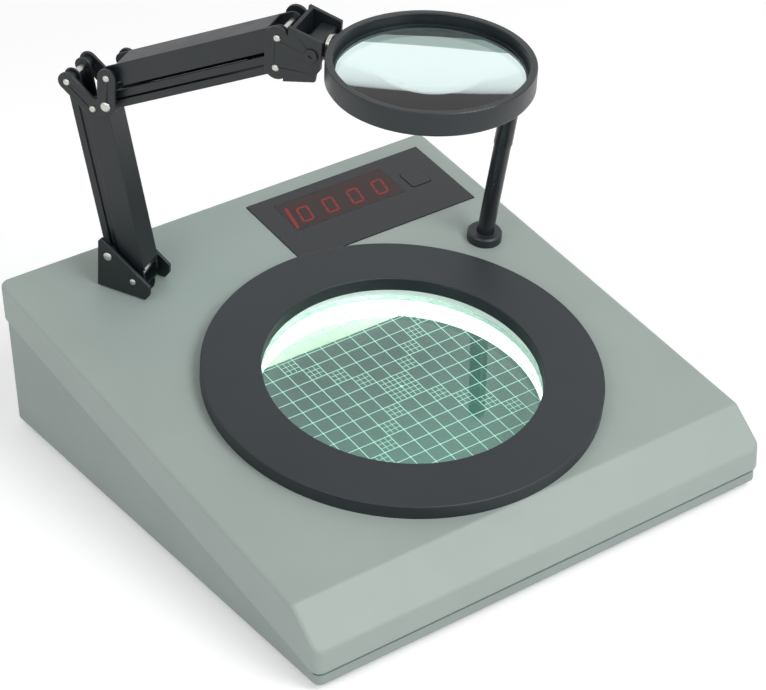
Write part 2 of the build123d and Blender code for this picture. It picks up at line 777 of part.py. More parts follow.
stroke_gap = 0.3
with BuildPart() as display_digits:
    with BuildSketch(TOP.offset(module_face)):
        reach_x = (DIGIT_W - STROKE) / 2
        reach_y = (DIGIT_L - STROKE) / 2
        for n in range(DIGIT_COUNT):
            digit_x = DIGIT_X + n * DIGIT_PITCH
            for sy in (-1, 1):
                lit_bar(digit_x, DIGIT_Y + sy * reach_y, 2 * reach_x - stroke_gap, STROKE, False)
                for sx in (-1, 1):
                    stroke_y = DIGIT_Y + sy * reach_y / 2
                    lit_bar(digit_x + sx * reach_x, stroke_y, reach_y - stroke_gap, STROKE, True)
        lit_bar(BAR_X, DIGIT_Y, BAR_L, 1.6 * STROKE, True)
    extrude(amount=LIT_T)
finish(display_digits, "display_digits")

with BuildPart() as display_board:
    with BuildSketch(TOP.offset(board_top)):
        with Locations((PANEL_X, PANEL_Y)):
            Rectangle(BOARD_W, BOARD_L)
        with Locations(*board_spots):
            Circle(M2_R + M3_CLEAR, mode=Mode.SUBTRACT)
    extrude(amount=-BOARD_T)
finish(display_board, "display_board")

with BuildPart() as display_screws:
    with BuildSketch(TOP.offset(board_top - BOARD_T)):
        with Locations(*board_spots):
            Circle(M2_R)
    extrude(amount=BOARD_T + MODULE_H / 2)
    with BuildSketch(TOP.offset(board_top - BOARD_T)):
        with Locations(*board_spots):
            Circle(M2_HEAD_R)
    extrude(amount=-M2_HEAD_H)
finish(display_screws, "display_screws")

# Reset key and the switch under it
key_top = PANEL_PROUD + KEY_PROUD
flange_top = panel_bottom - PANEL_CLEAR
flange_low = flange_top - SHEET_T
tact_top = board_top + TACT_H + TACT_PLUNGER_H
with BuildPart() as reset_key:
    with BuildSketch(TOP.offset(flange_top)):
        with Locations((KEY_X, KEY_Y)):
            RectangleRounded(KEY_W, KEY_L, KEY_R)
    extrude(amount=key_top - flange_top)
    with BuildSketch(TOP.offset(flange_low)):
        with Locations((KEY_X, KEY_Y)):
            Rectangle(key_flange_w, key_flange_l)
    extrude(amount=SHEET_T)
    with BuildSketch(TOP.offset(flange_low)):
        with Locations((KEY_X, KEY_Y)):
            Circle(KEY_STEM_R)
    extrude(amount=-(flange_low - tact_top - KEY_TRAVEL - 0.1))
finish(reset_key, "reset_key")

with BuildPart() as key_switch:
    with BuildSketch(TOP.offset(board_top)):
        with Locations((KEY_X, KEY_Y)):
            Rectangle(TACT_SIZE, TACT_SIZE)
    extrude(amount=TACT_H)
    with BuildSketch(TOP.offset(board_top + TACT_H)):
        with Locations((KEY_X, KEY_Y)):
            Circle(TACT_PLUNGER_R)
    extrude(amount=TACT_PLUNGER_H)
finish(key_switch, "key_switch")

# Arm planes and pivots
yaw = radians(ARM_YAW)
arm_dir = TOP.x_dir * cos(yaw) + TOP.y_dir * sin(yaw)
arm_near = arm_dir.cross(TOP.z_dir)
ARM = Plane(origin=on_top(SWIVEL_X, SWIVEL_Y), x_dir=arm_dir, z_dir=arm_near)


def step(start, move):
    """Point reached from start by a move in the arm's plane."""
    return (start[0] + move[0], start[1] + move[1])


def polar(length, angle):
    """Move of a length at an angle in the arm's plane."""
    return (length * cos(radians(angle)), length * sin(radians(angle)))


def slot_between(start, end, radius):
    """Add a round-ended outline about two points of the sketch."""
    middle = ((start[0] + end[0]) / 2, (start[1] + end[1]) / 2)
    SlotCenterPoint(middle, end, 2 * radius)


base_rear = REAR_PIVOT
base_front = step(base_rear, PIVOT_STEP)
elbow_rear = step(base_rear, polar(LOWER_LEN, LOWER_ANGLE))
elbow_front = step(elbow_rear, PIVOT_STEP)
elbow_top = step(elbow_rear, ELBOW_STEP)
elbow_low = step(elbow_top, (0, -UPPER_DROP))
head_top = step(elbow_top, polar(UPPER_LEN, UPPER_ANGLE))
head_low = step(head_top, (0, -UPPER_DROP))
plate_inner = PLATE_HALF - PLATE_T

# Base bracket, swivel bolt, flanged bush and the doubler under the cover
bracket_back = base_rear[0] - HEAD_LOBE_R + 0.3
bracket_front = base_front[0] + 10.9
web_front = bracket_front - 7.7
slant = (-PIVOT_STEP[1]) / PIVOT_STEP[0]
with BuildPart() as base_bracket:
    with BuildSketch(ARM):
        with BuildLine():
            Polyline(
                (bracket_back, BRACKET_LIFT),
                (bracket_front - 2.7, BRACKET_LIFT),
                (bracket_front, BRACKET_LIFT + 4.0),
                (bracket_front, base_front[1] - 0.2),
                (bracket_back + 2.1, base_front[1] - 0.2 + (bracket_front - bracket_back - 2.1) * slant),
                (bracket_back, base_front[1] - 0.2 + (bracket_front - bracket_back - 5.4) * slant),
                close=True,
            )
        make_face()
    extrude(amount=PLATE_HALF, both=True)
    with BuildSketch(ARM):
        with BuildLine():
            Polyline(
                (bracket_back - 1, BRACKET_LIFT + PLATE_T),
                (bracket_front + 1, BRACKET_LIFT + PLATE_T),
                (bracket_front + 1, 3 * base_rear[1]),
                (bracket_back - 1, 3 * base_rear[1]),
                close=True,
            )
        make_face()
        with BuildLine():
            Polyline(
                (web_front, -1),
                (bracket_front + 1, -1),
                (bracket_front + 1, BRACKET_LIFT + PLATE_T + 1),
                (web_front, BRACKET_LIFT + PLATE_T + 1),
                close=True,
            )
        make_face()
    extrude(amount=plate_inner, both=True, mode=Mode.SUBTRACT)
    with BuildSketch(ARM):
        with Locations(base_rear, base_front):
            Circle(PIN_R)
    extrude(amount=2 * PLATE_HALF, both=True, mode=Mode.SUBTRACT)
    with BuildSketch(TOP):
        with Locations((SWIVEL_X, SWIVEL_Y)):
            Circle(SWIVEL_BOLT_R)
    extrude(amount=2 * PLATE_T, mode=Mode.SUBTRACT)
finish(base_bracket, "base_bracket")

SWIVEL = Plane(origin=ARM.origin, x_dir=TOP.x_dir, z_dir=TOP.z_dir)
bush_r = SWIVEL_BOLT_R + BUSH_CLEAR
bush_low = -(WALL + DOUBLER_T)
with BuildPart() as swivel_bush:
    with BuildSketch(SWIVEL):
        Circle(BUSH_FLANGE_R)
        Circle(bush_r, mode=Mode.SUBTRACT)
    extrude(amount=BUSH_FLANGE_T)
    with BuildSketch(SWIVEL):
        Circle(bush_r + BUSH_WALL)
        Circle(bush_r, mode=Mode.SUBTRACT)
    extrude(amount=bush_low)
finish(swivel_bush, "swivel_bush")

with BuildPart() as arm_doubler:
    with BuildSketch(SWIVEL.offset(-WALL)):
        RectangleRounded(DOUBLER_W, DOUBLER_L, CORNER_R)
        Circle(bush_r + BUSH_WALL, mode=Mode.SUBTRACT)
    extrude(amount=-DOUBLER_T)
finish(arm_doubler, "arm_doubler")

with BuildPart() as swivel_bolt:
    with BuildSketch(SWIVEL.offset(bush_low - NUT_GAP - NUT_H)):
        Circle(SWIVEL_BOLT_R)
    extrude(amount=BRACKET_LIFT + PLATE_T - bush_low + NUT_GAP + NUT_H)
    with BuildSketch(SWIVEL.offset(BRACKET_LIFT + PLATE_T)):
        Circle(SWIVEL_HEAD_R)
    extrude(amount=SWIVEL_HEAD_H)
    with BuildSketch(SWIVEL.offset(bush_low - NUT_GAP)):
        RegularPolygon(SWIVEL_HEAD_R, 6)
    extrude(amount=-NUT_H)
finish(swivel_bolt, "swivel_bolt")


# Arm links, folded from sheet
def link_plane(start, end, web_side):
    """Plane along a link, with the web on its local +y side."""
    along = ARM.from_local_coords(Vector(*end)) - ARM.from_local_coords(Vector(*start))
    return Plane(
        origin=ARM.from_local_coords(Vector(*start)), x_dir=along, z_dir=ARM.z_dir * web_side
    )


def channel(plane, length, half, web, reach, posts):
    """Build a U channel between two pivots; posts are the spring anchors' places along it."""
    with BuildPart() as made:
        with BuildSketch(plane):
            slot_between((0, 0), (length, 0), LINK_END_R)
            with Locations((length / 2, (web - reach) / 2)):
                Rectangle(length - 2 * REACH_START, web + reach)
        extrude(amount=half, both=True)
        with BuildSketch(plane):
            with Locations((length / 2, web - SHEET_T - WEB_START)):
                Rectangle(2 * length, 2 * WEB_START, align=(Align.CENTER, Align.CENTER))
            with Locations((length / 2, -reach)):
                Rectangle(2 * length, 2 * reach)
            for end in (0, length):
                with Locations((end, 0)):
                    Rectangle(2 * WEB_START, 4 * web)
        extrude(amount=half - SHEET_T, both=True, mode=Mode.SUBTRACT)
        with BuildSketch(plane):
            with Locations((0, 0), (length, 0)):
                Circle(PIN_R + PIN_CLEAR)
        extrude(amount=half + 1, both=True, mode=Mode.SUBTRACT)
        for place in posts:
            with BuildSketch(plane):
                with Locations((place, 0)):
                    Circle(SPRING_POST_R)
            extrude(amount=half - SHEET_T / 2, both=True)
    return made


lower_posts = (ARM_SPRING_END, LOWER_LEN - ARM_SPRING_END)
upper_posts = (ARM_SPRING_END, UPPER_LEN - ARM_SPRING_END)
REAR_LINK = link_plane(base_rear, elbow_rear, 1)
FRONT_LINK = link_plane(base_front, elbow_front, -1)
TOP_LINK = link_plane(elbow_top, head_top, 1)
LOW_LINK = link_plane(elbow_low, head_low, -1)
lower_rear_link = channel(REAR_LINK, LOWER_LEN, INNER_HALF, LINK_END_R, INNER_REACH, lower_posts)
finish(lower_rear_link, "lower_rear_link")
lower_front_link = channel(FRONT_LINK, LOWER_LEN, OUTER_HALF, FRONT_LINK_BACK, OUTER_REACH, ())
finish(lower_front_link, "lower_front_link")
upper_top_link = channel(TOP_LINK, UPPER_LEN, OUTER_HALF, LINK_END_R, OUTER_REACH, ())
finish(upper_top_link, "upper_top_link")
upper_low_link = channel(LOW_LINK, UPPER_LEN, INNER_HALF, LINK_END_R, INNER_REACH, upper_posts)
finish(upper_low_link, "upper_low_link")


# Tension springs, hooked over the posts inside the links
def arm_spring(plane, posts):
    """Build a close-wound spring between two posts."""
    body_start = posts[0] + 2 * SPRING_POST_R + 2 * HOOK_R
    body_end = posts[1] - 2 * SPRING_POST_R - 2 * HOOK_R
    loop_r = SPRING_POST_R + HOOK_R + 0.1
    section = Plane(origin=plane.origin, x_dir=plane.x_dir, z_dir=plane.z_dir)
    with BuildPart() as made:
        with BuildSketch(section):
            with BuildLine():
                Polyline(
                    (body_start, ARM_SPRING_BORE),
                    (body_end, ARM_SPRING_BORE),
                    (body_end, ARM_SPRING_R),
                    (body_start, ARM_SPRING_R),
                    close=True,
                )
            make_face()
        revolve(axis=Axis(plane.origin, plane.x_dir))
        with BuildSketch(section):
            for place, side in ((posts[0], 1), (posts[1], -1)):
                with Locations((place, 0)):
                    Circle(loop_r + HOOK_R)
                    Circle(loop_r - HOOK_R, mode=Mode.SUBTRACT)
                neck = (loop_r + 2 * SPRING_POST_R + 2 * HOOK_R) / 2 + 0.3
                with Locations((place + side * neck, 0)):
                    Rectangle(2 * SPRING_POST_R + 2 * HOOK_R - loop_r + 1.4, 2 * ARM_SPRING_R - 0.6)
        extrude(amount=HOOK_R, both=True)
    return made


lower_spring = arm_spring(REAR_LINK, lower_posts)
finish(lower_spring, "lower_spring")
upper_spring = arm_spring(LOW_LINK, upper_posts)
finish(upper_spring, "upper_spring")

# Elbow plates
with BuildPart() as elbow_plates:
    for side in (-1, 1):
        with BuildSketch(ARM.offset(side * plate_inner)):
            slot_between(elbow_rear, elbow_front, ELBOW_LOBE_R)
            slot_between(elbow_top, elbow_low, ELBOW_LOBE_R)
            slot_between(elbow_front, elbow_low, ELBOW_LOBE_R)
            with Locations(elbow_rear, elbow_front, elbow_top, elbow_low):
                Circle(PIN_R, mode=Mode.SUBTRACT)
        extrude(amount=side * PLATE_T)
finish(elbow_plates, "elbow_plates")

# Head bracket, two plates joined by a web
nose_x = head_top[0] + TILT_STEP[0] + HEAD_NOSE
with BuildPart() as head_bracket:
    with BuildSketch(ARM):
        slot_between(head_top, head_low, HEAD_LOBE_R)
        with BuildLine():
            Polyline(
                step(head_top, (6.2, 9.0)),
                (nose_x, head_top[1] + 5.0),
                (nose_x, head_low[1] + 6.8),
                (nose_x - 2.2, head_low[1] + 3.3),
                (nose_x - 2.7, head_low[1] - 1.5),
                step(head_low, (4.4, -6.9)),
                close=True,
            )
        make_face()
    extrude(amount=PLATE_HALF, both=True)
    with BuildSketch(ARM):
        with Locations((head_top[0] + HEAD_WEB_STEP, head_top[1] - UPPER_DROP / 2)):
            Rectangle(4 * UPPER_DROP, 4 * UPPER_DROP, align=(Align.MAX, Align.CENTER))
        with Locations((head_top[0] + HEAD_WEB_STEP + PLATE_T, head_top[1] - UPPER_DROP / 2)):
            Rectangle(4 * UPPER_DROP, 4 * UPPER_DROP, align=(Align.MIN, Align.CENTER))
    extrude(amount=plate_inner, both=True, mode=Mode.SUBTRACT)
    with BuildSketch(ARM):
        with Locations(head_top, head_low):
            Circle(PIN_R)
        with Locations(step(head_top, TILT_STEP)):
            Circle(TILT_PIN_R)
    extrude(amount=2 * PLATE_HALF, both=True, mode=Mode.SUBTRACT)
finish(head_bracket, "head_bracket")


# Pivot pins with riveted ends, and the sleeves that keep the links centred
def pivot_pins(small, big):
    """Build pins across a pair of plates, with small and big riveted heads."""
    with BuildPart() as made:
        with BuildSketch(ARM):
            with Locations(*small, *big):
                Circle(PIN_R)
        extrude(amount=PLATE_HALF, both=True)
        for side in (-1, 1):
            with BuildSketch(ARM.offset(side * PLATE_HALF)):
                with Locations(*small):
                    Circle(RIVET_R)
            extrude(amount=side * RIVET_H)
            for spot in big:
                with BuildSketch(ARM.offset(side * PLATE_HALF)):
                    with Locations(spot):
                        Circle(BIG_HEAD_R)
                extrude(amount=side * BIG_HEAD_H)
    return made


def pivot_sleeves(inner, outer):
    """Build the sleeves beside the inner and the outer channels, out to the plates."""
    with BuildPart() as made:
        for spots, half in ((inner, INNER_HALF), (outer, OUTER_HALF)):
            for side in (-1, 1):
                with BuildSketch(ARM.offset(side * (half + SLEEVE_GAP))):
                    with Locations(*spots):
                        Circle(SLEEVE_R)
                    with Locations(*spots):
                        Circle(PIN_R, mode=Mode.SUBTRACT)
                extrude(amount=side * (plate_inner - half - SLEEVE_GAP))
    return made


base_pins = pivot_pins([base_rear, base_front], [])
finish(base_pins, "base_pins")
base_sleeves = pivot_sleeves([base_rear], [base_front])
finish(base_sleeves, "base_sleeves")
elbow_pins = pivot_pins([elbow_rear, elbow_front, elbow_top], [elbow_low])
finish(elbow_pins, "elbow_pins")
elbow_sleeves = pivot_sleeves([elbow_rear, elbow_low], [elbow_front, elbow_top])
finish(elbow_sleeves, "elbow_sleeves")
head_pins = pivot_pins([head_top, head_low], [])
finish(head_pins, "head_pins")
head_sleeves = pivot_sleeves([head_low], [head_top])
finish(head_sleeves, "head_sleeves")

# Tilt block between the head plates, and its two shoulder screws
tilt_spot = step(head_top, TILT_STEP)
stem_dir = ARM.x_dir * cos(radians(TILT_REST)) + ARM.y_dir * sin(radians(TILT_REST))
BLOCK = Plane(origin=ARM.from_local_coords(Vector(*tilt_spot)), x_dir=stem_dir, z_dir=ARM.z_dir)
STEM = Plane(origin=BLOCK.origin, x_dir=BLOCK.z_dir, z_dir=BLOCK.x_dir)
with BuildPart() as tilt_block:
    with BuildSketch(BLOCK):
        with Locations(((BLOCK_FRONT - BLOCK_BACK) / 2, 0)):
            RectangleRounded(BLOCK_FRONT + BLOCK_BACK, 2 * BLOCK_HALF_H, BLOCK_R)
    extrude(amount=plate_inner - BLOCK_SIDE_GAP, both=True)
    with BuildSketch(BLOCK):
        Circle(TILT_PIN_R + PIN_CLEAR)
    extrude(amount=plate_inner, both=True, mode=Mode.SUBTRACT)
    with BuildSketch(BLOCK):
        Circle(TILT_PIN_R + 2 * PIN_CLEAR)
    extrude(amount=TILT_PIN_INNER - 0.3, both=True)
    with BuildSketch(STEM.offset(-BLOCK_BACK - 1)):
        Circle(STEM_R + PIN_CLEAR)
    extrude(amount=BLOCK_BACK + BLOCK_FRONT + 2, mode=Mode.SUBTRACT)
    with BuildSketch(STEM.offset(-BLOCK_BACK - 1)):
        Circle(STEM_NUT_R + BLOCK_SIDE_GAP)
    extrude(amount=2.0, mode=Mode.SUBTRACT)
finish(tilt_block, "tilt_block")

with BuildPart() as tilt_screws:
    for side in (-1, 1):
        with BuildSketch(BLOCK.offset(side * TILT_PIN_INNER)):
            Circle(TILT_PIN_R)
        extrude(amount=side * (PLATE_HALF - TILT_PIN_INNER))
        with BuildSketch(BLOCK.offset(side * PLATE_HALF)):
            Circle(TILT_HEAD_R)
        extrude(amount=side * TILT_HEAD_H)
finish(tilt_screws, "tilt_screws")

# Lens ring with its stem, and the stem's collar and nut
ring_centre = BLOCK.origin + stem_dir * (RING_REACH + LENS_RING_R)
roll = radians(ROLL_REST)
ring_axis = BLOCK.y_dir * cos(roll) - BLOCK.z_dir * sin(roll)
RING = Plane(origin=ring_centre, x_dir=stem_dir, z_dir=ring_axis)
RING_SECTION = Plane(origin=ring_centre, x_dir=stem_dir, z_dir=stem_dir.cross(ring_axis))
lens_top = -LENS_DROP + LENS_EDGE / 2
lens_low = -LENS_DROP - LENS_EDGE / 2
ring_bore = LENS_RING_R - LENS_RING_WALL
with BuildPart() as lens_ring:
    with BuildSketch(RING_SECTION):
        with BuildLine():
            Polyline(
                (LENS_SEAT_R, -LENS_RING_BOTTOM),
                (LENS_RING_R - 1.0, -LENS_RING_BOTTOM),
                (LENS_RING_R, -LENS_RING_BOTTOM + 1.6),
                (LENS_RING_R, LENS_RING_TOP),
                (ring_bore, LENS_RING_TOP),
                (ring_bore, lens_low - LENS_GAP),
                (LENS_SEAT_R, lens_low - LENS_GAP),
                close=True,
            )
        make_face()
    revolve(axis=Axis(ring_centre, ring_axis))
    fillet(
        lens_ring.edges().filter_by(GeomType.CIRCLE).sort_by(Axis(ring_centre, ring_axis))[-2:],
        0.6,
    )
    with BuildSketch(STEM.offset(-BLOCK_BACK - STEM_NUT_T)):
        Circle(STEM_R)
    extrude(amount=BLOCK_BACK + STEM_NUT_T + RING_REACH + LENS_RING_WALL / 2)
finish(lens_ring, "lens_ring")

with BuildPart() as stem_collar:
    with BuildSketch(STEM.offset(BLOCK_FRONT + COLLAR_GAP)):
        Circle(COLLAR_R)
        Circle(STEM_R, mode=Mode.SUBTRACT)
    extrude(amount=COLLAR_T)
finish(stem_collar, "stem_collar")

with BuildPart() as stem_nut:
    with BuildSketch(STEM.offset(-BLOCK_BACK + 0.8)):
        RegularPolygon(STEM_NUT_R, 6)
        Circle(STEM_R, mode=Mode.SUBTRACT)
    extrude(amount=-STEM_NUT_T)
finish(stem_nut, "stem_nut")

# Biconvex lens and the ring that keeps it in
lens_sag = LENS_CURVE_R - sqrt(LENS_CURVE_R**2 - LENS_R**2)
with BuildPart() as lens:
    with BuildSketch(RING_SECTION):
        with BuildLine():
            Line((0, lens_low - lens_sag), (0, lens_top + lens_sag))
            RadiusArc((0, lens_top + lens_sag), (LENS_R, lens_top), LENS_CURVE_R)
            Line((LENS_R, lens_top), (LENS_R, lens_low))
            RadiusArc((LENS_R, lens_low), (0, lens_low - lens_sag), LENS_CURVE_R)
        make_face()
    revolve(axis=Axis(ring_centre, ring_axis))
finish(lens, "lens")

with BuildPart() as lens_retainer:
    with BuildSketch(RING.offset(lens_top + LENS_GAP)):
        Circle(ring_bore)
        Circle(ring_bore - RETAINER_W, mode=Mode.SUBTRACT)
    extrude(amount=RETAINER_T)
finish(lens_retainer, "lens_retainer")

# Pen holder with its snap-in stud
pen_dir = TOP.z_dir * cos(radians(PEN_LEAN)) + TOP.x_dir * sin(radians(PEN_LEAN))
PEN = Plane(origin=on_top(PEN_X, PEN_Y, HOLDER_FLOOR), x_dir=TOP.y_dir, z_dir=pen_dir)
with BuildPart() as pen_holder:
    with BuildSketch(TOP):
        with Locations((PEN_X, PEN_Y)):
            Circle(HOLDER_R)
    extrude(amount=HOLDER_H)
    chamfer(pen_holder.faces().sort_by(WELL_AXIS)[-1].edges(), 1.0)
    with BuildSketch(PEN):
        Circle(BARREL_R + PEN_CLEAR)
    extrude(amount=2 * HOLDER_H, mode=Mode.SUBTRACT)
    with BuildSketch(TOP):
        with Locations((PEN_X, PEN_Y)):
            Circle(HOLDER_STUD_R)
    extrude(amount=-HOLDER_STUD_L)
    with BuildSketch(TOP.offset(-WALL - M3_CLEAR)):
        with Locations((PEN_X, PEN_Y)):
            Circle(HOLDER_SNAP_R)
    extrude(amount=-HOLDER_SNAP_L, taper=20)
finish(pen_holder, "pen_holder")

# Marker pen: barrel with its nib, and cap
PEN_SECTION = Plane(origin=PEN.origin, x_dir=PEN.x_dir, z_dir=PEN.x_dir.cross(PEN.z_dir))
PEN_AXIS = Axis(PEN.origin, PEN.z_dir)
pen_foot = 0.4
with BuildPart() as pen_barrel:
    with BuildSketch(PEN_SECTION):
        with BuildLine():
            Polyline(
                (0, pen_foot),
                (BARREL_R - 1.0, pen_foot),
                (BARREL_R, pen_foot + 2.0),
                (BARREL_R, BARREL_LEN),
                (PEN_NECK_R, BARREL_LEN),
                (PEN_NECK_R - 0.4, BARREL_LEN + PEN_NECK_LEN),
                (NIB_R, BARREL_LEN + PEN_NECK_LEN + 2.0),
                (NIB_R - 0.4, BARREL_LEN + PEN_NECK_LEN + NIB_LEN),
                (0, BARREL_LEN + PEN_NECK_LEN + NIB_LEN),
                close=True,
            )
        make_face()
    revolve(axis=PEN_AXIS)
finish(pen_barrel, "pen_barrel")

cap_low = BARREL_LEN + 0.1
with BuildPart() as pen_cap:
    with BuildSketch(PEN_SECTION):
        with BuildLine():
            Polyline(
                (PEN_NECK_R + 0.3, cap_low),
                (CAP_R, cap_low),
                (CAP_R - 0.4, cap_low + CAP_LEN - 2.0),
                (CAP_R - 1.6, cap_low + CAP_LEN),
                (0, cap_low + CAP_LEN),
                (0, cap_low + CAP_LEN - CAP_WALL),
                (PEN_NECK_R + 0.3, cap_low + CAP_LEN - 2 * CAP_WALL - 1.0),
                close=True,
            )
        make_face()
    revolve(axis=PEN_AXIS)
finish(pen_cap, "pen_cap")

# Power inlet, fuse holder and rocker switch in the recessed back panel
with BuildPart() as power_inlet:
    with BuildSketch(Plane.XZ.offset(-panel_y)):
        with Locations((INLET_X, RECESS_Z)):
            RectangleRounded(INLET_W + 2 * FLANGE_RIM, INLET_H + 2 * FLANGE_RIM, FLANGE_RIM)
    extrude(amount=-FLANGE_T)
    with BuildSketch(Plane.XZ.offset(-panel_y)):
        with Locations((INLET_X, RECESS_Z)):
            Rectangle(INLET_W, INLET_H)
    extrude(amount=INLET_DEPTH)
    with BuildSketch(Plane.XZ.offset(-panel_y - FLANGE_T)):
        with Locations((INLET_X, RECESS_Z)):
            Rectangle(INLET_W - 2 * INLET_WALL, INLET_H - 2 * INLET_WALL)
    extrude(amount=INLET_DEPTH - 4.0, mode=Mode.SUBTRACT)
finish(power_inlet, "power_inlet")

with BuildPart() as fuse_holder:
    with BuildSketch(Plane.XZ.offset(-panel_y)):
        with Locations((FUSE_X, RECESS_Z)):
            Circle(FUSE_R)
    extrude(amount=INLET_DEPTH)
    with BuildSketch(Plane.XZ.offset(-panel_y)):
        with Locations((FUSE_X, RECESS_Z)):
            Circle(FUSE_CAP_R)
    extrude(amount=-FUSE_CAP_H)
    with BuildSketch(Plane.XZ.offset(-panel_y - FUSE_CAP_H)):
        with Locations((FUSE_X, RECESS_Z)):
            Rectangle(2 * FUSE_R, 1.4)
    extrude(amount=1.2, mode=Mode.SUBTRACT)
finish(fuse_holder, "fuse_holder")

pin_spots = [(-7.0, -2.0), (0.0, 2.0), (7.0, -2.0)]
with BuildPart() as inlet_pins:
    with BuildSketch(Plane.XZ.offset(-panel_y + INLET_DEPTH - 4.0 - FLANGE_T)):
        with Locations(*[(INLET_X + x, RECESS_Z + z) for x, z in pin_spots]):
            Rectangle(INLET_PIN_W, INLET_PIN_L)
    extrude(amount=-(INLET_DEPTH - 8.0))
finish(inlet_pins, "inlet_pins")

rocker_y = panel_y - 1.0
rocker_cavity = 6.5
with BuildPart() as switch_frame:
    with BuildSketch(Plane.XZ.offset(-panel_y)):
        with Locations((ROCKER_X, RECESS_Z)):
            Rectangle(ROCKER_FRAME_W, ROCKER_FRAME_H)
    extrude(amount=-FLANGE_T)
    with BuildSketch(Plane.XZ.offset(-panel_y)):
        with Locations((ROCKER_X, RECESS_Z)):
            Rectangle(ROCKER_FRAME_W - 2 * FLANGE_RIM, ROCKER_FRAME_H - 2 * FLANGE_RIM)
    extrude(amount=ROCKER_DEPTH)
    with BuildSketch(Plane.XZ.offset(-panel_y - FLANGE_T)):
        with Locations((ROCKER_X, RECESS_Z)):
            Rectangle(
                ROCKER_W + 2 * ROCKER_SIDE_GAP, 2 * (ROCKER_HALF + ROCKER_END_GAP)
            )
    extrude(amount=FLANGE_T + rocker_cavity, mode=Mode.SUBTRACT)
    with BuildSketch(Plane.YZ.offset(ROCKER_X - ROCKER_W)):
        with Locations((rocker_y, RECESS_Z)):
            Circle(ROCKER_PIN_R + PIN_CLEAR)
    extrude(amount=2 * ROCKER_W, mode=Mode.SUBTRACT)
finish(switch_frame, "switch_frame")

# Rocker, leaning to off at rest
with BuildPart() as power_rocker:
    with BuildSketch(Plane.YZ.offset(ROCKER_X - ROCKER_W / 2)):
        with Locations(Location((rocker_y, RECESS_Z), ROCKER_TILT)):
            Polygon(
                (-4.0, -4.5),
                (-4.0, 4.5),
                (0.0, ROCKER_HALF),
                (ROCKER_PROUD + 1.0, ROCKER_HALF),
                (ROCKER_PROUD, 0.0),
                (ROCKER_PROUD + 1.0, -ROCKER_HALF),
                (0.0, -ROCKER_HALF),
                align=None,
            )
    extrude(amount=ROCKER_W)
    with BuildSketch(Plane.YZ.offset(ROCKER_X)):
        with Locations((rocker_y, RECESS_Z)):
            Circle(ROCKER_PIN_R)
    extrude(amount=ROCKER_W / 2 + 1.2, both=True)
finish(power_rocker, "power_rocker")

# Ballast on the tray floor
with BuildPart() as ballast:
    with BuildSketch(Plane.XY.offset(floor_top)):
        with Locations((BALLAST_X, BALLAST_Y)):
            Rectangle(BALLAST_W, BALLAST_L)
    extrude(amount=BALLAST_H)
    with BuildSketch(Plane.XY.offset(floor_top + (BALLAST_H - BALLAST_COIL_H) / 2)):
        with Locations((BALLAST_X, BALLAST_Y)):
            RectangleRounded(BALLAST_COIL_W, BALLAST_COIL_L, 3.0)
    extrude(amount=BALLAST_COIL_H)
    with BuildSketch(Plane.XY.offset(floor_top)):
        with Locations((BALLAST_X, BALLAST_Y)):
            Rectangle(BALLAST_W + 2 * BALLAST_FOOT, BALLAST_FOOT * 2)
            with GridLocations(BALLAST_W + BALLAST_FOOT, 0, 2, 1):
                Circle(M3_R + M3_CLEAR, mode=Mode.SUBTRACT)
    extrude(amount=PAN_T)
finish(ballast, "ballast")

# Main board on the tray's four bosses, with its transformer, relay and capacitors
with BuildPart() as main_board:
    with BuildSketch(Plane.XY.offset(main_low)):
        with Locations((MAIN_X, MAIN_Y)):
            Rectangle(MAIN_W, MAIN_L)
        with Locations(*main_spots):
            Circle(M3_R + M3_CLEAR, mode=Mode.SUBTRACT)
    extrude(amount=BOARD_T)
finish(main_board, "main_board")

with BuildPart() as board_components:
    with BuildSketch(Plane.XY.offset(main_top)):
        with Locations((MAIN_X + CORE_STEP, MAIN_Y)):
            Rectangle(CORE_W, CORE_L)
    extrude(amount=CORE_H)
    with BuildSketch(Plane.XY.offset(main_top)):
        with Locations((MAIN_X - CAN_STEP, MAIN_Y)):
            with GridLocations(0, 2 * CAN_STEP, 1, 2):
                Circle(CAN_R)
    extrude(amount=CAN_H)
    with BuildSketch(Plane.XY.offset(main_top)):
        with Locations((MAIN_X - CHIP_STEP, MAIN_Y)):
            with GridLocations(0, 2 * CHIP_L + 2, 1, 2):
                Rectangle(CHIP_W, CHIP_L)
    extrude(amount=CHIP_H)
finish(board_components, "board_components")
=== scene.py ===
import json
import math

import bmesh
import bpy
from mathutils import Matrix, Vector


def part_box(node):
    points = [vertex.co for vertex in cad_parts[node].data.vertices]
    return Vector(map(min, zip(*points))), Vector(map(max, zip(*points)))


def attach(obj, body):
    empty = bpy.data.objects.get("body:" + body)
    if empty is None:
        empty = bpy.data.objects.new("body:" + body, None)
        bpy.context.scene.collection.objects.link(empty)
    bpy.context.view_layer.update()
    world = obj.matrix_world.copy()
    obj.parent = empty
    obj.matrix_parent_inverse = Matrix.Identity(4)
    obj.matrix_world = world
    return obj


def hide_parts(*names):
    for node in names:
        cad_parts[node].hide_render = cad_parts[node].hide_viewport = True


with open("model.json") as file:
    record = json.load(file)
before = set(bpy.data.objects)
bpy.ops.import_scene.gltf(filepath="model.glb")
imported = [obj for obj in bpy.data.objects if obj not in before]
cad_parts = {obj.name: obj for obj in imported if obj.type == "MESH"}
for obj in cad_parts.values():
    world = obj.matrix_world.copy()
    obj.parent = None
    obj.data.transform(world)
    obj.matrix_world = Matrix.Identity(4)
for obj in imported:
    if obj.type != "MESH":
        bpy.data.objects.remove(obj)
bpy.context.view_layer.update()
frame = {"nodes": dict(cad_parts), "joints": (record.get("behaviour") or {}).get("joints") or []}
NODES = frame["nodes"]
JOINTS = {j["name"]: j for j in frame["joints"]}
MM = 0.001


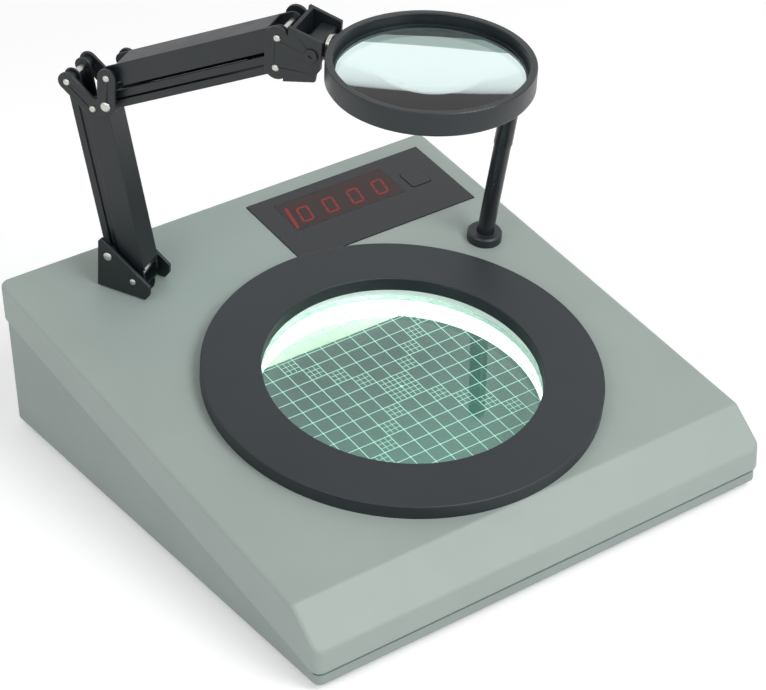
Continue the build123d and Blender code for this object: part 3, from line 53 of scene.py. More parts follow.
def mm(*values):
    """Vector given in millimetres."""
    return Vector(values) * MM


def rgb(r, g, b):
    """Linear colour from the 0 to 255 values that a screen shows."""
    return tuple(
        c / 255 / 12.92 if c <= 10 else ((c / 255 + 0.055) / 1.055) ** 2.4 for c in (r, g, b)
    ) + (1.0,)


def toned(colour, share):
    """The same colour with its brightness multiplied by share."""
    return tuple(min(1.0, c * share) for c in colour[:3]) + (1.0,)


# Places that several pieces share
class Place:
    """Origin and three directions; at() turns local millimetres into a point."""

    def __init__(self, origin, x, z):
        self.origin = Vector(origin)
        self.z = Vector(z).normalized()
        self.x = (Vector(x) - self.z * Vector(x).dot(self.z)).normalized()
        self.y = self.z.cross(self.x)

    def at(self, x, y, z=0.0):
        return self.origin + (self.x * x + self.y * y + self.z * z) * MM

    def moved(self, x, y, z=0.0):
        return Place(self.at(x, y, z), self.x, self.z)


# Top face of the case, with the well's centre as its origin
CHAMFER_RUN = 20.6
PANEL_STRIP = 77.9
BEZEL_TO_BACK_GAP = 0.3
BEZEL_RIM = 34.0
GLASS_OVERLAP = 2.8
GLASS_TOP = -5.7
cover_low, cover_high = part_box("top_cover")
top_normal = Vector(JOINTS["arm_swivel"]["axis"])
tilt = math.atan2(-top_normal.y, top_normal.z)
case_depth = (cover_high.y - cover_low.y) / MM
top_length = (case_depth - CHAMFER_RUN) / math.cos(tilt)
BEZEL_R = (top_length - PANEL_STRIP) / 2
well_to_back = top_length - BEZEL_R - BEZEL_TO_BACK_GAP
well_centre = Vector(
    (
        0,
        cover_high.y - well_to_back * MM * math.cos(tilt),
        cover_high.z - well_to_back * MM * math.sin(tilt),
    )
)
TOP = Place(well_centre, (1, 0, 0), top_normal)
BEZEL_INNER_R = BEZEL_R - BEZEL_RIM
GLASS_R = BEZEL_INNER_R + GLASS_OVERLAP

# Display panel, with its own centre on the top face
PANEL_L = 61.4
PANEL_TO_SIDE = 76.4
PANEL_TO_BEZEL = 2.7
PANEL = TOP.moved(cover_high.x / MM - PANEL_TO_SIDE, BEZEL_R + PANEL_L / 2 + PANEL_TO_BEZEL)

# Pivots of the arm; the last two are open in the frame, so the other pivots give them
PLATE_HALF = 13.05
arm_side = Vector(JOINTS["lower_arm_lift"]["axis"])
pivot = {
    "base_rear": Vector(JOINTS["lower_arm_lift"]["pos_m"]),
    "base_front": Vector(JOINTS["lower_front_follow"]["pos_m"]),
    "elbow_rear": Vector(JOINTS["elbow_follow"]["pos_m"]),
    "elbow_top": Vector(JOINTS["upper_arm_lift"]["pos_m"]),
    "elbow_low": Vector(JOINTS["upper_low_follow"]["pos_m"]),
    "head_top": Vector(JOINTS["head_follow"]["pos_m"]),
    "tilt": Vector(JOINTS["lens_tilt"]["pos_m"]),
}
pivot["elbow_front"] = pivot["elbow_rear"] + pivot["base_front"] - pivot["base_rear"]
pivot["head_low"] = pivot["head_top"] + pivot["elbow_low"] - pivot["elbow_top"]

# Centre and axis of the lens ring
LENS_ROLL_REST = math.radians(3.04)
LENS_RING_R = 54.5
RING_REACH = 7.1
stem_dir = Vector(JOINTS["lens_roll"]["axis"])
block_up = arm_side.cross(stem_dir)
ring_axis = block_up * math.cos(LENS_ROLL_REST) - arm_side * math.sin(LENS_ROLL_REST)
ring_centre = pivot["tilt"] + stem_dir * (RING_REACH + LENS_RING_R) * MM
RING = Place(ring_centre, stem_dir, ring_axis)


# Node helpers for materials
def new_material(name):
    made = bpy.data.materials.new(name)
    made.use_nodes = True
    tree = made.node_tree
    return made, tree, tree.nodes["Principled BSDF"]


def noise(tree, scale, detail=4.0, rough=0.55):
    """Noise in object space, its scale in features per metre."""
    where = tree.nodes.new("ShaderNodeTexCoord")
    made = tree.nodes.new("ShaderNodeTexNoise")
    made.inputs["Scale"].default_value = scale
    made.inputs["Detail"].default_value = detail
    made.inputs["Roughness"].default_value = rough
    tree.links.new(where.outputs["Object"], made.inputs["Vector"])
    return made.outputs["Fac"]


def ramp(tree, value, low, high, a, b):
    """Colour that goes from a to b as value goes from low to high."""
    made = tree.nodes.new("ShaderNodeValToRGB")
    made.color_ramp.elements[0].position = low
    made.color_ramp.elements[0].color = a
    made.color_ramp.elements[1].position = high
    made.color_ramp.elements[1].color = b
    tree.links.new(value, made.inputs["Fac"])
    return made.outputs["Color"]


def spread(tree, value, low, high):
    """Number from low to high as value goes from 0 to 1."""
    made = tree.nodes.new("ShaderNodeMapRange")
    made.inputs["To Min"].default_value = low
    made.inputs["To Max"].default_value = high
    tree.links.new(value, made.inputs["Value"])
    return made.outputs["Result"]


def blended(tree, factor, a, b):
    """Colour mixed from a to b by factor; a may be a socket or a colour."""
    made = tree.nodes.new("ShaderNodeMix")
    made.data_type = "RGBA"
    tree.links.new(factor, made.inputs["Factor"])
    if isinstance(a, tuple):
        made.inputs["A"].default_value = a
    else:
        tree.links.new(a, made.inputs["A"])
    made.inputs["B"].default_value = b
    return made.outputs["Result"]


def bump(tree, shader, height, strength, distance):
    made = tree.nodes.new("ShaderNodeBump")
    made.inputs["Strength"].default_value = strength
    made.inputs["Distance"].default_value = distance
    tree.links.new(height, made.inputs["Height"])
    tree.links.new(made.outputs["Normal"], shader.inputs["Normal"])


def edge_mask(tree, radius):
    """About 1 along convex edges and 0 on flats, for paint worn thin."""
    made = tree.nodes.new("ShaderNodeBevel")
    made.inputs["Radius"].default_value = radius
    made.samples = 4
    plain = tree.nodes.new("ShaderNodeNewGeometry")
    dot = tree.nodes.new("ShaderNodeVectorMath")
    dot.operation = "DOT_PRODUCT"
    tree.links.new(made.outputs["Normal"], dot.inputs[0])
    tree.links.new(plain.outputs["Normal"], dot.inputs[1])
    turned = tree.nodes.new("ShaderNodeMapRange")
    turned.inputs["From Min"].default_value = 1.0
    turned.inputs["From Max"].default_value = 0.75
    tree.links.new(dot.outputs["Value"], turned.inputs["Value"])
    return turned.outputs["Result"]


def along(tree, place, direction, low, high):
    """0 to 1 between two places along a direction from place, both in millimetres."""
    where = tree.nodes.new("ShaderNodeTexCoord")
    dot = tree.nodes.new("ShaderNodeVectorMath")
    dot.operation = "DOT_PRODUCT"
    dot.inputs[1].default_value = direction
    tree.links.new(where.outputs["Object"], dot.inputs[0])
    made = tree.nodes.new("ShaderNodeMapRange")
    start = place.origin.dot(direction)
    made.inputs["From Min"].default_value = start + low * MM
    made.inputs["From Max"].default_value = start + high * MM
    tree.links.new(dot.outputs["Value"], made.inputs["Value"])
    return made.outputs["Result"]


def moulded(name, colour, tone=0.06, grain=2600, grain_depth=0.00004, rough=(0.42, 0.55)):
    """Moulded or sprayed surface with a fine grain, slow tone drift and uneven gloss."""
    made, tree, shader = new_material(name)
    dark, light = toned(colour, 1 - tone), toned(colour, 1 + tone)
    drift = ramp(tree, noise(tree, 14, 3), 0.35, 0.65, dark, light)
    tree.links.new(drift, shader.inputs["Base Color"])
    tree.links.new(spread(tree, noise(tree, 60, 4), *rough), shader.inputs["Roughness"])
    bump(tree, shader, noise(tree, grain, 2, 0.5), 0.5, grain_depth)
    return made


def enamel(name, colour, bare, rough=(0.32, 0.5), wear=0.35):
    """Enamelled steel: orange peel, dust and thin wear on the edges."""
    made, tree, shader = new_material(name)
    patch = tree.nodes.new("ShaderNodeMath")
    patch.operation = "MULTIPLY"
    patch.use_clamp = True
    tree.links.new(edge_mask(tree, 0.0006), patch.inputs[0])
    tree.links.new(spread(tree, noise(tree, 420, 5, 0.7), -0.4, wear + 0.4), patch.inputs[1])
    tree.links.new(blended(tree, patch.outputs["Value"], colour, bare), shader.inputs["Base Color"])
    tree.links.new(spread(tree, noise(tree, 90, 4), *rough), shader.inputs["Roughness"])
    bump(tree, shader, noise(tree, 900, 3), 0.35, 0.00005)
    return made


def metal(name, colour, rough=(0.18, 0.38), grain=500, depth=0.00003):
    """Plated or drawn metal with fine uneven gloss."""
    made, tree, shader = new_material(name)
    stain = ramp(tree, noise(tree, 160, 4), 0.3, 0.7, toned(colour, 0.8), colour)
    tree.links.new(stain, shader.inputs["Base Color"])
    shader.inputs["Metallic"].default_value = 1.0
    tree.links.new(spread(tree, noise(tree, 300, 4), *rough), shader.inputs["Roughness"])
    bump(tree, shader, noise(tree, grain, 3), 0.3, depth)
    return made


def glossy(name, colour, rough=(0.08, 0.16), tone=0.1):
    """Smooth moulded plastic or film, with faint handling smears."""
    made, tree, shader = new_material(name)
    drift = ramp(tree, noise(tree, 30, 3), 0.35, 0.65, toned(colour, 1 - tone), colour)
    tree.links.new(drift, shader.inputs["Base Color"])
    tree.links.new(spread(tree, noise(tree, 45, 6, 0.65), *rough), shader.inputs["Roughness"])
    return made


def clear(name, tint, ior=1.5):
    """Clear glass that lets light through to what is behind it."""
    made, tree, shader = new_material(name)
    shader.inputs["Base Color"].default_value = tint
    shader.inputs["Transmission Weight"].default_value = 1.0
    shader.inputs["Roughness"].default_value = 0.0
    shader.inputs["IOR"].default_value = ior
    out = tree.nodes["Material Output"]
    see_through = tree.nodes.new("ShaderNodeBsdfTransparent")
    see_through.inputs["Color"].default_value = tint
    path = tree.nodes.new("ShaderNodeLightPath")
    mix = tree.nodes.new("ShaderNodeMixShader")
    tree.links.new(path.outputs["Is Shadow Ray"], mix.inputs["Fac"])
    tree.links.new(shader.outputs["BSDF"], mix.inputs[1])
    tree.links.new(see_through.outputs["BSDF"], mix.inputs[2])
    tree.links.new(mix.outputs["Shader"], out.inputs["Surface"])
    return made


def lit(name, colour, glow, strength):
    """Surface that gives its own light: a lamp, or painted glow on the grid and key prints."""
    made, tree, shader = new_material(name)
    drift = ramp(tree, noise(tree, 70, 3), 0.2, 0.8, toned(colour, 0.94), colour)
    tree.links.new(drift, shader.inputs["Base Color"])
    shader.inputs["Roughness"].default_value = 0.45
    shader.inputs["Emission Color"].default_value = glow
    shader.inputs["Emission Strength"].default_value = strength
    return made


def carrier_material():
    """White plate carrier with an even painted glow that stands in for the lamp light shining
    through it.
    """
    made, tree, shader = new_material("carrier_plastic")
    drift = ramp(tree, noise(tree, 40, 3), 0.3, 0.7, rgb(214, 228, 220), rgb(232, 242, 236))
    tree.links.new(drift, shader.inputs["Base Color"])
    shader.inputs["Roughness"].default_value = 0.4
    # Painted glow: emission all over the carrier, standing in for the lamp light that passes through
    # the plastic.
    shader.inputs["Emission Color"].default_value = rgb(214, 246, 234)
    shader.inputs["Emission Strength"].default_value = 0.25
    return made


def dark_plate_material():
    """Teal plate with a painted reflection of the glowing wall, paler towards the operator, and a
    few cloudy marks.
    """
    made, tree, shader = new_material("dark_plate_painted_reflection")
    # Painted reflection: the base colour runs from pale teal at the front to dark teal at the back.
    depth = along(tree, TOP, TOP.y, -80, 70)
    base = ramp(tree, depth, 0.05, 0.8, rgb(78, 122, 113), rgb(38, 72, 68))
    cloud = spread(tree, noise(tree, 45, 5, 0.6), -0.55, 0.75)
    tree.links.new(blended(tree, cloud, base, rgb(74, 106, 100)), shader.inputs["Base Color"])
    tree.links.new(spread(tree, noise(tree, 70, 5), 0.42, 0.6), shader.inputs["Roughness"])
    return made


def window_material():
    """Dark red filter that only the lit strokes show through."""
    made, tree, shader = new_material("window_filter")
    shader.inputs["Base Color"].default_value = (0.30, 0.03, 0.035, 1.0)
    shader.inputs["Transmission Weight"].default_value = 1.0
    shader.inputs["Roughness"].default_value = 0.05
    shader.inputs["IOR"].default_value = 1.45
    return made


M = {
    "cover": moulded("cover_paint", rgb(157, 168, 163), 0.025, 1900, 0.00009, (0.42, 0.56)),
    "base": moulded("base_paint", rgb(146, 157, 154), 0.03, 1900, 0.00009, (0.45, 0.6)),
    "bezel": moulded("bezel_plastic", rgb(26, 33, 38), 0.08, 3000, 0.00003, (0.38, 0.5)),
    "rubber": moulded("foot_rubber", rgb(28, 28, 29), 0.1, 1500, 0.0001, (0.7, 0.85)),
    "zinc": metal("zinc_plate", rgb(205, 206, 200)),
    "steel": metal("spring_wire", rgb(150, 150, 150), (0.25, 0.45)),
    "galv": metal("galvanised_sheet", rgb(170, 174, 178), (0.35, 0.6), 120, 0.0001),
    "white_enamel": moulded("pan_enamel", rgb(186, 204, 180), 0.03, 700, 0.00006, (0.25, 0.4)),
    "ivory": moulded("lamp_cap_plastic", rgb(214, 208, 190), 0.05),
    "component": glossy("component_body", rgb(30, 31, 33), (0.3, 0.5)),
    "board": glossy("board_mask", rgb(26, 92, 52), (0.2, 0.35)),
    "lamination": metal("core_steel", rgb(96, 98, 102), (0.4, 0.6), 2500, 0.0001),
    "arm": enamel("arm_enamel", rgb(21, 28, 32), rgb(72, 78, 82)),
    "lens_black": moulded("lens_ring_plastic", rgb(21, 29, 33), 0.1, 2400, 0.00003, (0.3, 0.42)),
    "key": moulded("key_plastic", rgb(27, 30, 35), 0.08, 2600, 0.00003, (0.3, 0.42)),
    "panel": glossy("panel_film", rgb(18, 25, 29), (0.22, 0.32), 0.08),
    "pen": glossy("pen_barrel_plastic", rgb(30, 33, 38), (0.22, 0.34)),
    "pen_cap": glossy("pen_cap_plastic", rgb(24, 26, 30), (0.16, 0.26)),
    "inlet": moulded("inlet_plastic", rgb(30, 30, 31), 0.08, 1500, 0.00004),
    "switch": glossy("rocker_plastic", rgb(26, 26, 27), (0.15, 0.25)),
    "module": glossy("module_plastic", rgb(22, 20, 22), (0.3, 0.4)),
    "glass": clear("plate_glass", (0.90, 0.985, 0.955, 1.0)),
    "lens": clear("lens_glass", (0.80, 0.955, 0.945, 1.0), 1.52),
    # The grid print has a painted glow: it emits light though it is no lamp.
    "print": lit("grid_print_painted_glow", rgb(190, 234, 218), rgb(170, 232, 210), 0.22),
    # The key outline print has a painted glow: it emits light though it is no lamp.
    "key_print_painted_glow": lit("key_print_painted_glow", rgb(226, 236, 238), rgb(200, 220, 224), 0.25),
    "led": lit("led_strokes", rgb(190, 40, 44), rgb(214, 38, 42), 1.0),
    "led_dim": lit("led_glow", rgb(70, 20, 24), rgb(150, 24, 30), 0.22),
    "opal": lit("opal_wall", rgb(236, 244, 238), rgb(246, 255, 251), 1.25),
    "lamp": lit("lamp_tube", rgb(244, 248, 244), rgb(240, 255, 248), 1.6),
    "carrier": carrier_material(),
    "dark": dark_plate_material(),
    "window": window_material(),
}

# Nodes that each material covers
FOLDED = (
    "base_bracket",
    "lower_rear_link",
    "lower_front_link",
    "upper_top_link",
    "upper_low_link",
    "elbow_plates",
    "head_bracket",
)
COVERS = {
    "cover": ("top_cover",),
    "base": ("base_tray",),
    "rubber": ("rubber_feet",),
    "bezel": ("bezel_ring", "swivel_bush", "pen_holder"),
    "white_enamel": ("light_pan",),
    "dark": ("dark_plate",),
    "opal": ("diffuser_wall",),
    "lamp": ("ring_lamp",),
    "ivory": ("lamp_cap",),
    "glass": ("glass_plate",),
    "carrier": ("plate_carrier",),
    "panel": ("display_panel",),
    "window": ("display_window",),
    "module": ("display_module",),
    "led": ("display_digits",),
    "board": ("display_board", "main_board"),
    "component": ("board_components",),
    "lamination": ("ballast",),
    "key": ("reset_key",),
    "switch": ("count_switch", "key_switch", "power_rocker"),
    "galv": ("arm_doubler",),
    "arm": (*FOLDED, "base_sleeves", "elbow_sleeves", "head_sleeves", "tilt_block"),
    "lens_black": ("lens_ring", "lens_retainer"),
    "lens": ("lens",),
    "pen": ("pen_barrel",),
    "pen_cap": ("pen_cap",),
    "inlet": ("power_inlet", "fuse_holder", "switch_frame"),
    "steel": ("lamp_clips", "lower_spring", "upper_spring", "carrier_springs"),
    "zinc": (
        "stem_collar",
        "stem_nut",
        "inlet_pins",
        "display_screws",
        "base_screws",
        "bezel_screws",
        "swivel_bolt",
        "base_pins",
        "elbow_pins",
        "head_pins",
        "tilt_screws",
    ),
}
MATERIAL_OF = {node: material for material, nodes in COVERS.items() for node in nodes}

# Small edge rounds in millimetres, on the nodes that take them
SOFT_EDGE = dict.fromkeys(FOLDED, 0.35) | {
    "pen_holder": 0.5,
    "lens_ring": 0.3,
    "reset_key": 0.3,
    "display_panel": 0.12,
    "tilt_block": 0.4,
    "stem_collar": 0.3,
    "power_rocker": 0.4,
    "fuse_holder": 0.4,
    "power_inlet": 0.3,
    "switch_frame": 0.3,
    "base_tray": 0.3,
    "pen_barrel": 0.2,
    "pen_cap": 0.4,
}
SMOOTH_ANGLE = math.radians(32)
WELD_REACH = 0.000002


def dress_nodes():
    """Give each CAD node its material, and some of them small edge rounds."""
    for name, node in NODES.items():
        node.data.materials.clear()
        node.data.materials.append(M[MATERIAL_OF[name]])
        if name in SOFT_EDGE:
            weld = node.modifiers.new("weld", "WELD")
            weld.merge_threshold = WELD_REACH
            edge = node.modifiers.new("edge", "BEVEL")
            edge.width = SOFT_EDGE[name] * MM
            edge.segments = 2
            edge.limit_method = "ANGLE"
            edge.angle_limit = SMOOTH_ANGLE
            edge.harden_normals = True
            edge.use_clamp_overlap = True
            even = node.modifiers.new("even", "WEIGHTED_NORMAL")
            even.weight = 80
            even.keep_sharp = True


# Mesh helpers
def put(name, body, builder, material, smooth=True, replaces=()):
    """Make an object from a bmesh, smooth it, and let it ride on its body."""
    mesh = bpy.data.meshes.new(name)
    builder.to_mesh(mesh)
    builder.free()
    made = bpy.data.objects.new(name, mesh)
    bpy.context.scene.collection.objects.link(made)
    mesh.materials.append(M[material])
    for face in mesh.polygons:
        face.use_smooth = smooth
    if smooth:
        mesh.set_sharp_from_angle(angle=SMOOTH_ANGLE)
    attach(made, body)
    if replaces:
        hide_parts(*replaces)
    return made


def add_lathe(bm, place, profile, steps):
    """Add a turned form: profile points are radius and height from place, in millimetres."""
    rows = []
    for i in range(steps):
        turn = math.tau * i / steps
        row = []
        for radius, height in profile:
            if radius < 1e-6 and rows:
                row.append(rows[0][len(row)])
                continue
            spot = place.at(radius * math.cos(turn), radius * math.sin(turn), height)
            row.append(bm.verts.new(spot))
        rows.append(row)
    for here, there in zip(rows, rows[1:] + rows[:1]):
        for k in range(len(profile) - 1):
            corners = dict.fromkeys((here[k], there[k], there[k + 1], here[k + 1]))
            if len(corners) >= 3:
                bm.faces.new(list(corners))


def add_tube(bm, points, radius, sides=8):
    """Add a round wire of a radius in millimetres through the points, capped at both ends."""
    rings = []
    side = None
    for i, point in enumerate(points):
        ahead = points[min(i + 1, len(points) - 1)] - points[max(i - 1, 0)]
        ahead.normalize()
        if side is None:
            side = ahead.orthogonal().normalized()
        side = (side - ahead * side.dot(ahead)).normalized()
        up = ahead.cross(side)
        ring = []
        for k in range(sides):
            turn = math.tau * k / sides
            out = side * math.cos(turn) + up * math.sin(turn)
            ring.append(bm.verts.new(point + out * radius * MM))
        rings.append(ring)
    for here, there in zip(rings, rings[1:]):
        for k in range(sides):
            bm.faces.new([here[k], here[(k + 1) % sides], there[(k + 1) % sides], there[k]])
    bm.faces.new(rings[0][::-1])
    bm.faces.new(rings[-1])


def add_prism(bm, place, outline, low, high):
    """Add a straight prism on a simple outline in millimetres."""
    bottom = [bm.verts.new(place.at(x, y, low)) for x, y in outline]
    top = [bm.verts.new(place.at(x, y, high)) for x, y in outline]
    bm.faces.new(bottom[::-1])
    bm.faces.new(top)
    for i in range(len(outline)):
        j = (i + 1) % len(outline)
        bm.faces.new([bottom[i], bottom[j], top[j], top[i]])


def rounded_outline(w, l, r, steps=6):
    """Corner points of a rounded rectangle about the origin."""
    x, y = w / 2 - r, l / 2 - r
    points = []
    for quarter, (cx, cy) in enumerate(((x, y), (-x, y), (-x, -y), (x, -y))):
        for i in range(steps + 1):
            turn = math.radians(90 * quarter + 90 * i / steps)
            points.append((cx + r * math.cos(turn), cy + r * math.sin(turn)))
    return points


# Counting grid on the glass, with hatched squares along both diagonals
CELL = 10.0
GRID_REACH = 8
GRID_MARGIN = 0.4
LINE_W = 0.42
FINE_W = 0.3
LINE_H = 0.03
DIAGONAL = range(-45, 46, 10)
CENTRE_R = 0.9
CENTRE_H = 0.05


def add_line(bm, place, a, b, width):
    """Add a flat printed line between two points on the glass."""
    ax, ay = a
    bx, by = b
    length = math.hypot(bx - ax, by - ay)
    sx, sy = -(by - ay) / length * width / 2, (bx - ax) / length * width / 2
    outline = [(ax + sx, ay + sy), (ax - sx, ay - sy), (bx - sx, by - sy), (bx + sx, by + sy)]
    add_prism(bm, place, outline, 0.0, LINE_H)


def counting_grid():
    bm = bmesh.new()
    place = TOP.moved(0, 0, GLASS_TOP)
    reach = GLASS_R - GRID_MARGIN
    for i in range(-GRID_REACH, GRID_REACH + 1):
        at = i * CELL
        half = math.sqrt(reach**2 - at**2)
        add_line(bm, place, (at, -half), (at, half), LINE_W)
        add_line(bm, place, (-half, at), (half, at), LINE_W)
    for x in DIAGONAL:
        for y in (x, -x):
            low_x, low_y = x - CELL / 2, y - CELL / 2
            for third in (1, 2):
                step = CELL * third / 3
                add_line(bm, place, (low_x + step, low_y), (low_x + step, low_y + CELL), FINE_W)
                add_line(bm, place, (low_x, low_y + step), (low_x + CELL, low_y + step), FINE_W)
    add_lathe(bm, place, [(0.0, CENTRE_H), (CENTRE_R, CENTRE_H), (CENTRE_R, 0.0)], 20)
    return put("counting_grid", "dish_stage", bm, "print", smooth=False)


# Pins of the arm with domed heads: radius and height of each head
PIN_R = 2.0
SMALL_HEAD = (1.9, 0.9)
FOOT_HEAD = (2.7, 1.0)
BIG_HEAD = (3.1, 1.6)
DOME_RIM = 0.25
DOME_STEPS = 6


def dome(head_r, head_h, base):
    """Profile of a shallow domed head, from its rim to its crown."""
    points = [(head_r, base), (head_r, base + DOME_RIM * head_h)]
    for i in range(1, DOME_STEPS):
        turn = math.pi / 2 * i / DOME_STEPS
        rise = DOME_RIM + (1 - DOME_RIM) * math.sin(turn)
        points.append((head_r * math.cos(turn), base + head_h * rise))
    points.append((0.0, base + head_h))
    return points


def rivets(name, body, node, heads):
    """Pins across the plates with a domed head on each side."""
    bm = bmesh.new()
    for spot, head in heads.items():
        for side in (1, -1):
            place = Place(pivot[spot], stem_dir, arm_side * side)
            profile = [(PIN_R, 0.0), (PIN_R, PLATE_HALF), *dome(*head, PLATE_HALF)]
            add_lathe(bm, place, profile, 24)
    return put(name, body, bm, "zinc", replaces=(node,))


# Tension springs in the arm, hooked over the posts in the links
POST_INSET = 20.0
SPRING_REACH = 4.8
COIL_R = 2.7
COIL_PITCH = 1.25
COIL_STEPS = 14
WIRE_R = 0.58
HOOK_R = 2.5
HOOK_START, HOOK_ARC, HOOK_STEPS = 20, 320, 20
HOOK_LEAD = ((2.3, 0.0), (3.6, 0.0), (4.4, 1.2), (5.0, 2.6))


def coil(bm, start, end):
    """Add a close-wound spring between two points."""
    axis = end - start
    place = Place(start, axis.orthogonal(), axis)
    length = axis.length / MM
    turns = int(length / COIL_PITCH)
    steps = turns * COIL_STEPS
    points = []
    for i in range(steps + 1):
        turn = math.tau * turns * i / steps
        points.append(place.at(COIL_R * math.cos(turn), COIL_R * math.sin(turn), length * i / steps))
    add_tube(bm, points, WIRE_R)


def hook(bm, centre, towards):
    """Add a spring's end loop round a post at centre, open towards the coil."""
    place = Place(centre, towards, arm_side)
    points = []
    for i in range(HOOK_STEPS + 1):
        turn = math.radians(HOOK_START + HOOK_ARC * i / HOOK_STEPS)
        points.append(place.at(HOOK_R * math.cos(turn), HOOK_R * math.sin(turn)))
    add_tube(bm, points, WIRE_R)


def arm_spring(name, body, low, high, node):
    """Close-wound tension spring hooked over the posts in a link."""
    bm = bmesh.new()
    direction = (pivot[high] - pivot[low]).normalized()
    start = pivot[low] + direction * POST_INSET * MM
    end = pivot[high] - direction * POST_INSET * MM
    coil(bm, start + direction * SPRING_REACH * MM, end - direction * SPRING_REACH * MM)
    hook(bm, start, direction)
    hook(bm, end, -direction)
    for post, inward in ((start, direction), (end, -direction)):
        lead = [post + (inward * reach + arm_side * rise) * MM for reach, rise in HOOK_LEAD]
        add_tube(bm, lead, WIRE_R)
    return put(name, body, bm, "steel", replaces=(node,))


# Screws that the tilt block turns on
TILT_PIN_R = 2.5
TILT_PIN_INNER = 5.0
TILT_HEAD_R = 4.0
TILT_HEAD_H = 1.0
TILT_HEAD_CHAMFER = 0.3
TILT_RECESS_R = 1.2
TILT_RECESS_FLOOR_R = 0.9
TILT_RECESS_FLOOR_H = 0.3


def tilt_screw_heads():
    """Two black screws with a chamfered head and a dished recess."""
    bm = bmesh.new()
    crown = PLATE_HALF + TILT_HEAD_H
    recess_floor = PLATE_HALF + TILT_RECESS_FLOOR_H
    profile = [
        (TILT_PIN_R, TILT_PIN_INNER),
        (TILT_PIN_R, PLATE_HALF),
        (TILT_HEAD_R, PLATE_HALF),
        (TILT_HEAD_R, crown - TILT_HEAD_CHAMFER),
        (TILT_HEAD_R - TILT_HEAD_CHAMFER, crown),
        (TILT_RECESS_R, crown),
        (TILT_RECESS_FLOOR_R, recess_floor),
        (0.0, recess_floor),
    ]
    for side in (1, -1):
        add_lathe(bm, Place(pivot["tilt"], stem_dir, arm_side * side), profile, 32)
    return put("tilt_screw_pair", "head", bm, "arm", replaces=("tilt_screws",))


# Lens of the magnifier
LENS_R = 50.2
LENS_CURVE_R = 315.0
LENS_DROP = 1.8
LENS_HALF_EDGE = 1.2
LENS_STEPS = 26


def ground_lens():
    """Biconvex lens, turned finely enough to refract cleanly."""
    bm = bmesh.new()
    sag = LENS_CURVE_R - math.sqrt(LENS_CURVE_R**2 - LENS_R**2)
    upper, lower = [], []
    for i in range(LENS_STEPS + 1):
        r = LENS_R * i / LENS_STEPS
        rise = sag - (LENS_CURVE_R - math.sqrt(LENS_CURVE_R**2 - r**2))
        upper.append((r, -LENS_DROP + LENS_HALF_EDGE + rise))
        lower.append((r, -LENS_DROP - LENS_HALF_EDGE - rise))
    add_lathe(bm, RING, upper + lower[::-1], 128)
    bmesh.ops.recalc_face_normals(bm, faces=bm.faces)
    return put("magnifier_lens", "magnifier", bm, "lens", replaces=("lens",))


# Printed outline on the reset key: width, length and corner radius of its two edges
KEY_STEP = (43.6, 3.6)
KEY_PRINT_LIFT = 0.9
KEY_PRINT_H = 0.04
KEY_PRINT_OUTER = (13.4, 14.0, 2.0)
KEY_PRINT_INNER = (12.0, 12.6, 1.4)


def key_frame():
    bm = bmesh.new()
    place = PANEL.moved(*KEY_STEP, KEY_PRINT_LIFT)
    outer = rounded_outline(*KEY_PRINT_OUTER)
    inner = rounded_outline(*KEY_PRINT_INNER)
    low = [bm.verts.new(place.at(x, y)) for x, y in outer]
    top = [bm.verts.new(place.at(x, y, KEY_PRINT_H)) for x, y in outer]
    low_in = [bm.verts.new(place.at(x, y)) for x, y in inner]
    top_in = [bm.verts.new(place.at(x, y, KEY_PRINT_H)) for x, y in inner]
    count = len(outer)
    for i in range(count):
        j = (i + 1) % count
        bm.faces.new([top[i], top[j], top_in[j], top_in[i]])
        bm.faces.new([low[i], low[j], top[j], top[i]])
        bm.faces.new([top_in[i], top_in[j], low_in[j], low_in[i]])
    # The printed outline carries painted glow from its emissive material.
    return put("key_frame_print", "reset", bm, "key_print_painted_glow", smooth=False)


# Faint line behind the filter, above the digits
WINDOW_STEP = (-9.6, 9.1)
GLOW_DEPTH = 0.85
GLOW_X = (-38, 18)
GLOW_Y = (11.3, 11.7)
GLOW_Z = (-0.28, -0.2)


def display_glow():
    """Thin lit edge that shows above the digits through the filter."""
    bm = bmesh.new()
    (left, right), (near, far) = GLOW_X, GLOW_Y
    outline = [(left, near), (right, near), (right, far), (left, far)]
    add_prism(bm, PANEL.moved(*WINDOW_STEP, -GLOW_DEPTH), outline, *GLOW_Z)
    return put("display_glow_line", "case", bm, "led_dim", smooth=False)


# Camera, fitted to the photograph: millimetres, degrees and pixels
CAMERA_AT = mm(-680.13, -996.64, 818.91)
AZIMUTH, ELEVATION, ROLL = -34.758, 29.574, -1.874
FOCAL_PX = 2509.2
FRAME_W, FRAME_H = 766, 690
AXIS_PX = (386.55, 250.42)


def make_camera():
    data = bpy.data.cameras.new("camera")
    data.sensor_width = 36.0
    data.lens = FOCAL_PX / FRAME_W * data.sensor_width
    data.shift_x = (FRAME_W / 2 - AXIS_PX[0]) / FRAME_W
    data.shift_y = (AXIS_PX[1] - FRAME_H / 2) / FRAME_W
    data.clip_start, data.clip_end = 0.05, 30.0
    camera = bpy.data.objects.new("camera", data)
    bpy.context.scene.collection.objects.link(camera)
    a, e, r = (math.radians(v) for v in (AZIMUTH, ELEVATION, ROLL))
    right = Vector((math.cos(a), math.sin(a), 0))
    back = Vector((math.sin(a) * math.cos(e), -math.cos(a) * math.cos(e), math.sin(e)))
    up = back.cross(right)
    rolled_right = right * math.cos(r) + up * math.sin(r)
    rolled_up = up * math.cos(r) - right * math.sin(r)
    turn = Matrix((rolled_right, rolled_up, back)).transposed().to_4x4()
    camera.matrix_world = Matrix.Translation(CAMERA_AT) @ turn
    bpy.context.scene.camera = camera


# Floor and light
FLOOR_HALF = 6.0
FLOOR_DARK = (0.86, 0.86, 0.86, 1)
FLOOR_PALE = (0.88, 0.88, 0.88, 1)
FLOOR_LIFT = 0.3
AMBIENT = 0.5
WHITE = (1, 1, 1, 1)


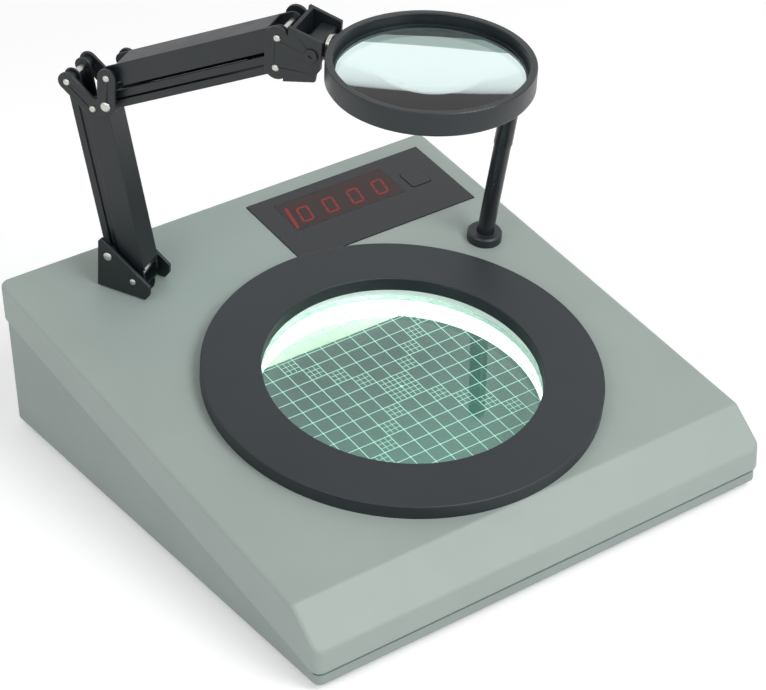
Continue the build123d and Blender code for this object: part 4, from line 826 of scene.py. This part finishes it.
def seen_directly(tree, other, direct):
    """Direct for camera, mirror and glass rays, and other for the rest."""
    path = tree.nodes.new("ShaderNodeLightPath")
    most = path.outputs["Is Camera Ray"]
    for name in ("Is Glossy Ray", "Is Transmission Ray"):
        pick = tree.nodes.new("ShaderNodeMath")
        pick.operation = "MAXIMUM"
        tree.links.new(most, pick.inputs[0])
        tree.links.new(path.outputs[name], pick.inputs[1])
        most = pick.outputs["Value"]
    return spread(tree, most, other, direct)


def make_stage():
    bm = bmesh.new()
    bmesh.ops.create_grid(bm, x_segments=2, y_segments=2, size=FLOOR_HALF)
    mesh = bpy.data.meshes.new("floor")
    bm.to_mesh(mesh)
    bm.free()
    floor = bpy.data.objects.new("floor", mesh)
    bpy.context.scene.collection.objects.link(floor)
    made, tree, shader = new_material("floor_paper")
    paper = ramp(tree, noise(tree, 3, 2), 0.3, 0.7, FLOOR_DARK, FLOOR_PALE)
    tree.links.new(paper, shader.inputs["Base Color"])
    shader.inputs["Roughness"].default_value = 0.9
    shader.inputs["Emission Color"].default_value = WHITE
    tree.links.new(seen_directly(tree, 0.0, FLOOR_LIFT), shader.inputs["Emission Strength"])
    mesh.materials.append(made)


def area_light(name, at, target, size, power):
    """Round soft light, places and size in metres and power in watts."""
    data = bpy.data.lights.new(name, "AREA")
    data.shape = "DISK"
    data.size = size
    data.energy = power
    made = bpy.data.objects.new(name, data)
    made.location = at
    made.rotation_euler = (Vector(target) - Vector(at)).to_track_quat("-Z", "Y").to_euler()
    bpy.context.scene.collection.objects.link(made)


def make_light():
    world = bpy.data.worlds.new("studio")
    bpy.context.scene.world = world
    world.use_nodes = True
    tree = world.node_tree
    shade = tree.nodes["Background"]
    shade.inputs["Color"].default_value = WHITE
    tree.links.new(seen_directly(tree, AMBIENT, 1.0), shade.inputs["Strength"])
    area_light("key", at=(0.55, -1.7, 1.75), target=(0, 0, 0.08), size=1.3, power=30)
    area_light("fill", at=(-1.6, -0.6, 1.3), target=(0, 0, 0.1), size=1.4, power=8)


dress_nodes()
counting_grid()
rivets("base_rivets", "arm_foot", "base_pins", {"base_rear": FOOT_HEAD, "base_front": SMALL_HEAD})
rivets(
    "elbow_rivets",
    "elbow",
    "elbow_pins",
    {
        "elbow_rear": SMALL_HEAD,
        "elbow_front": SMALL_HEAD,
        "elbow_top": SMALL_HEAD,
        "elbow_low": BIG_HEAD,
    },
)
rivets("head_rivets", "head", "head_pins", {"head_top": SMALL_HEAD, "head_low": SMALL_HEAD})
arm_spring("lower_coil", "lower_rear", "base_rear", "elbow_rear", "lower_spring")
arm_spring("upper_coil", "upper_low", "elbow_low", "head_low", "upper_spring")
tilt_screw_heads()
ground_lens()
key_frame()
display_glow()
make_stage()
make_light()
make_camera()

bpy.context.scene.view_settings.view_transform = "Standard"
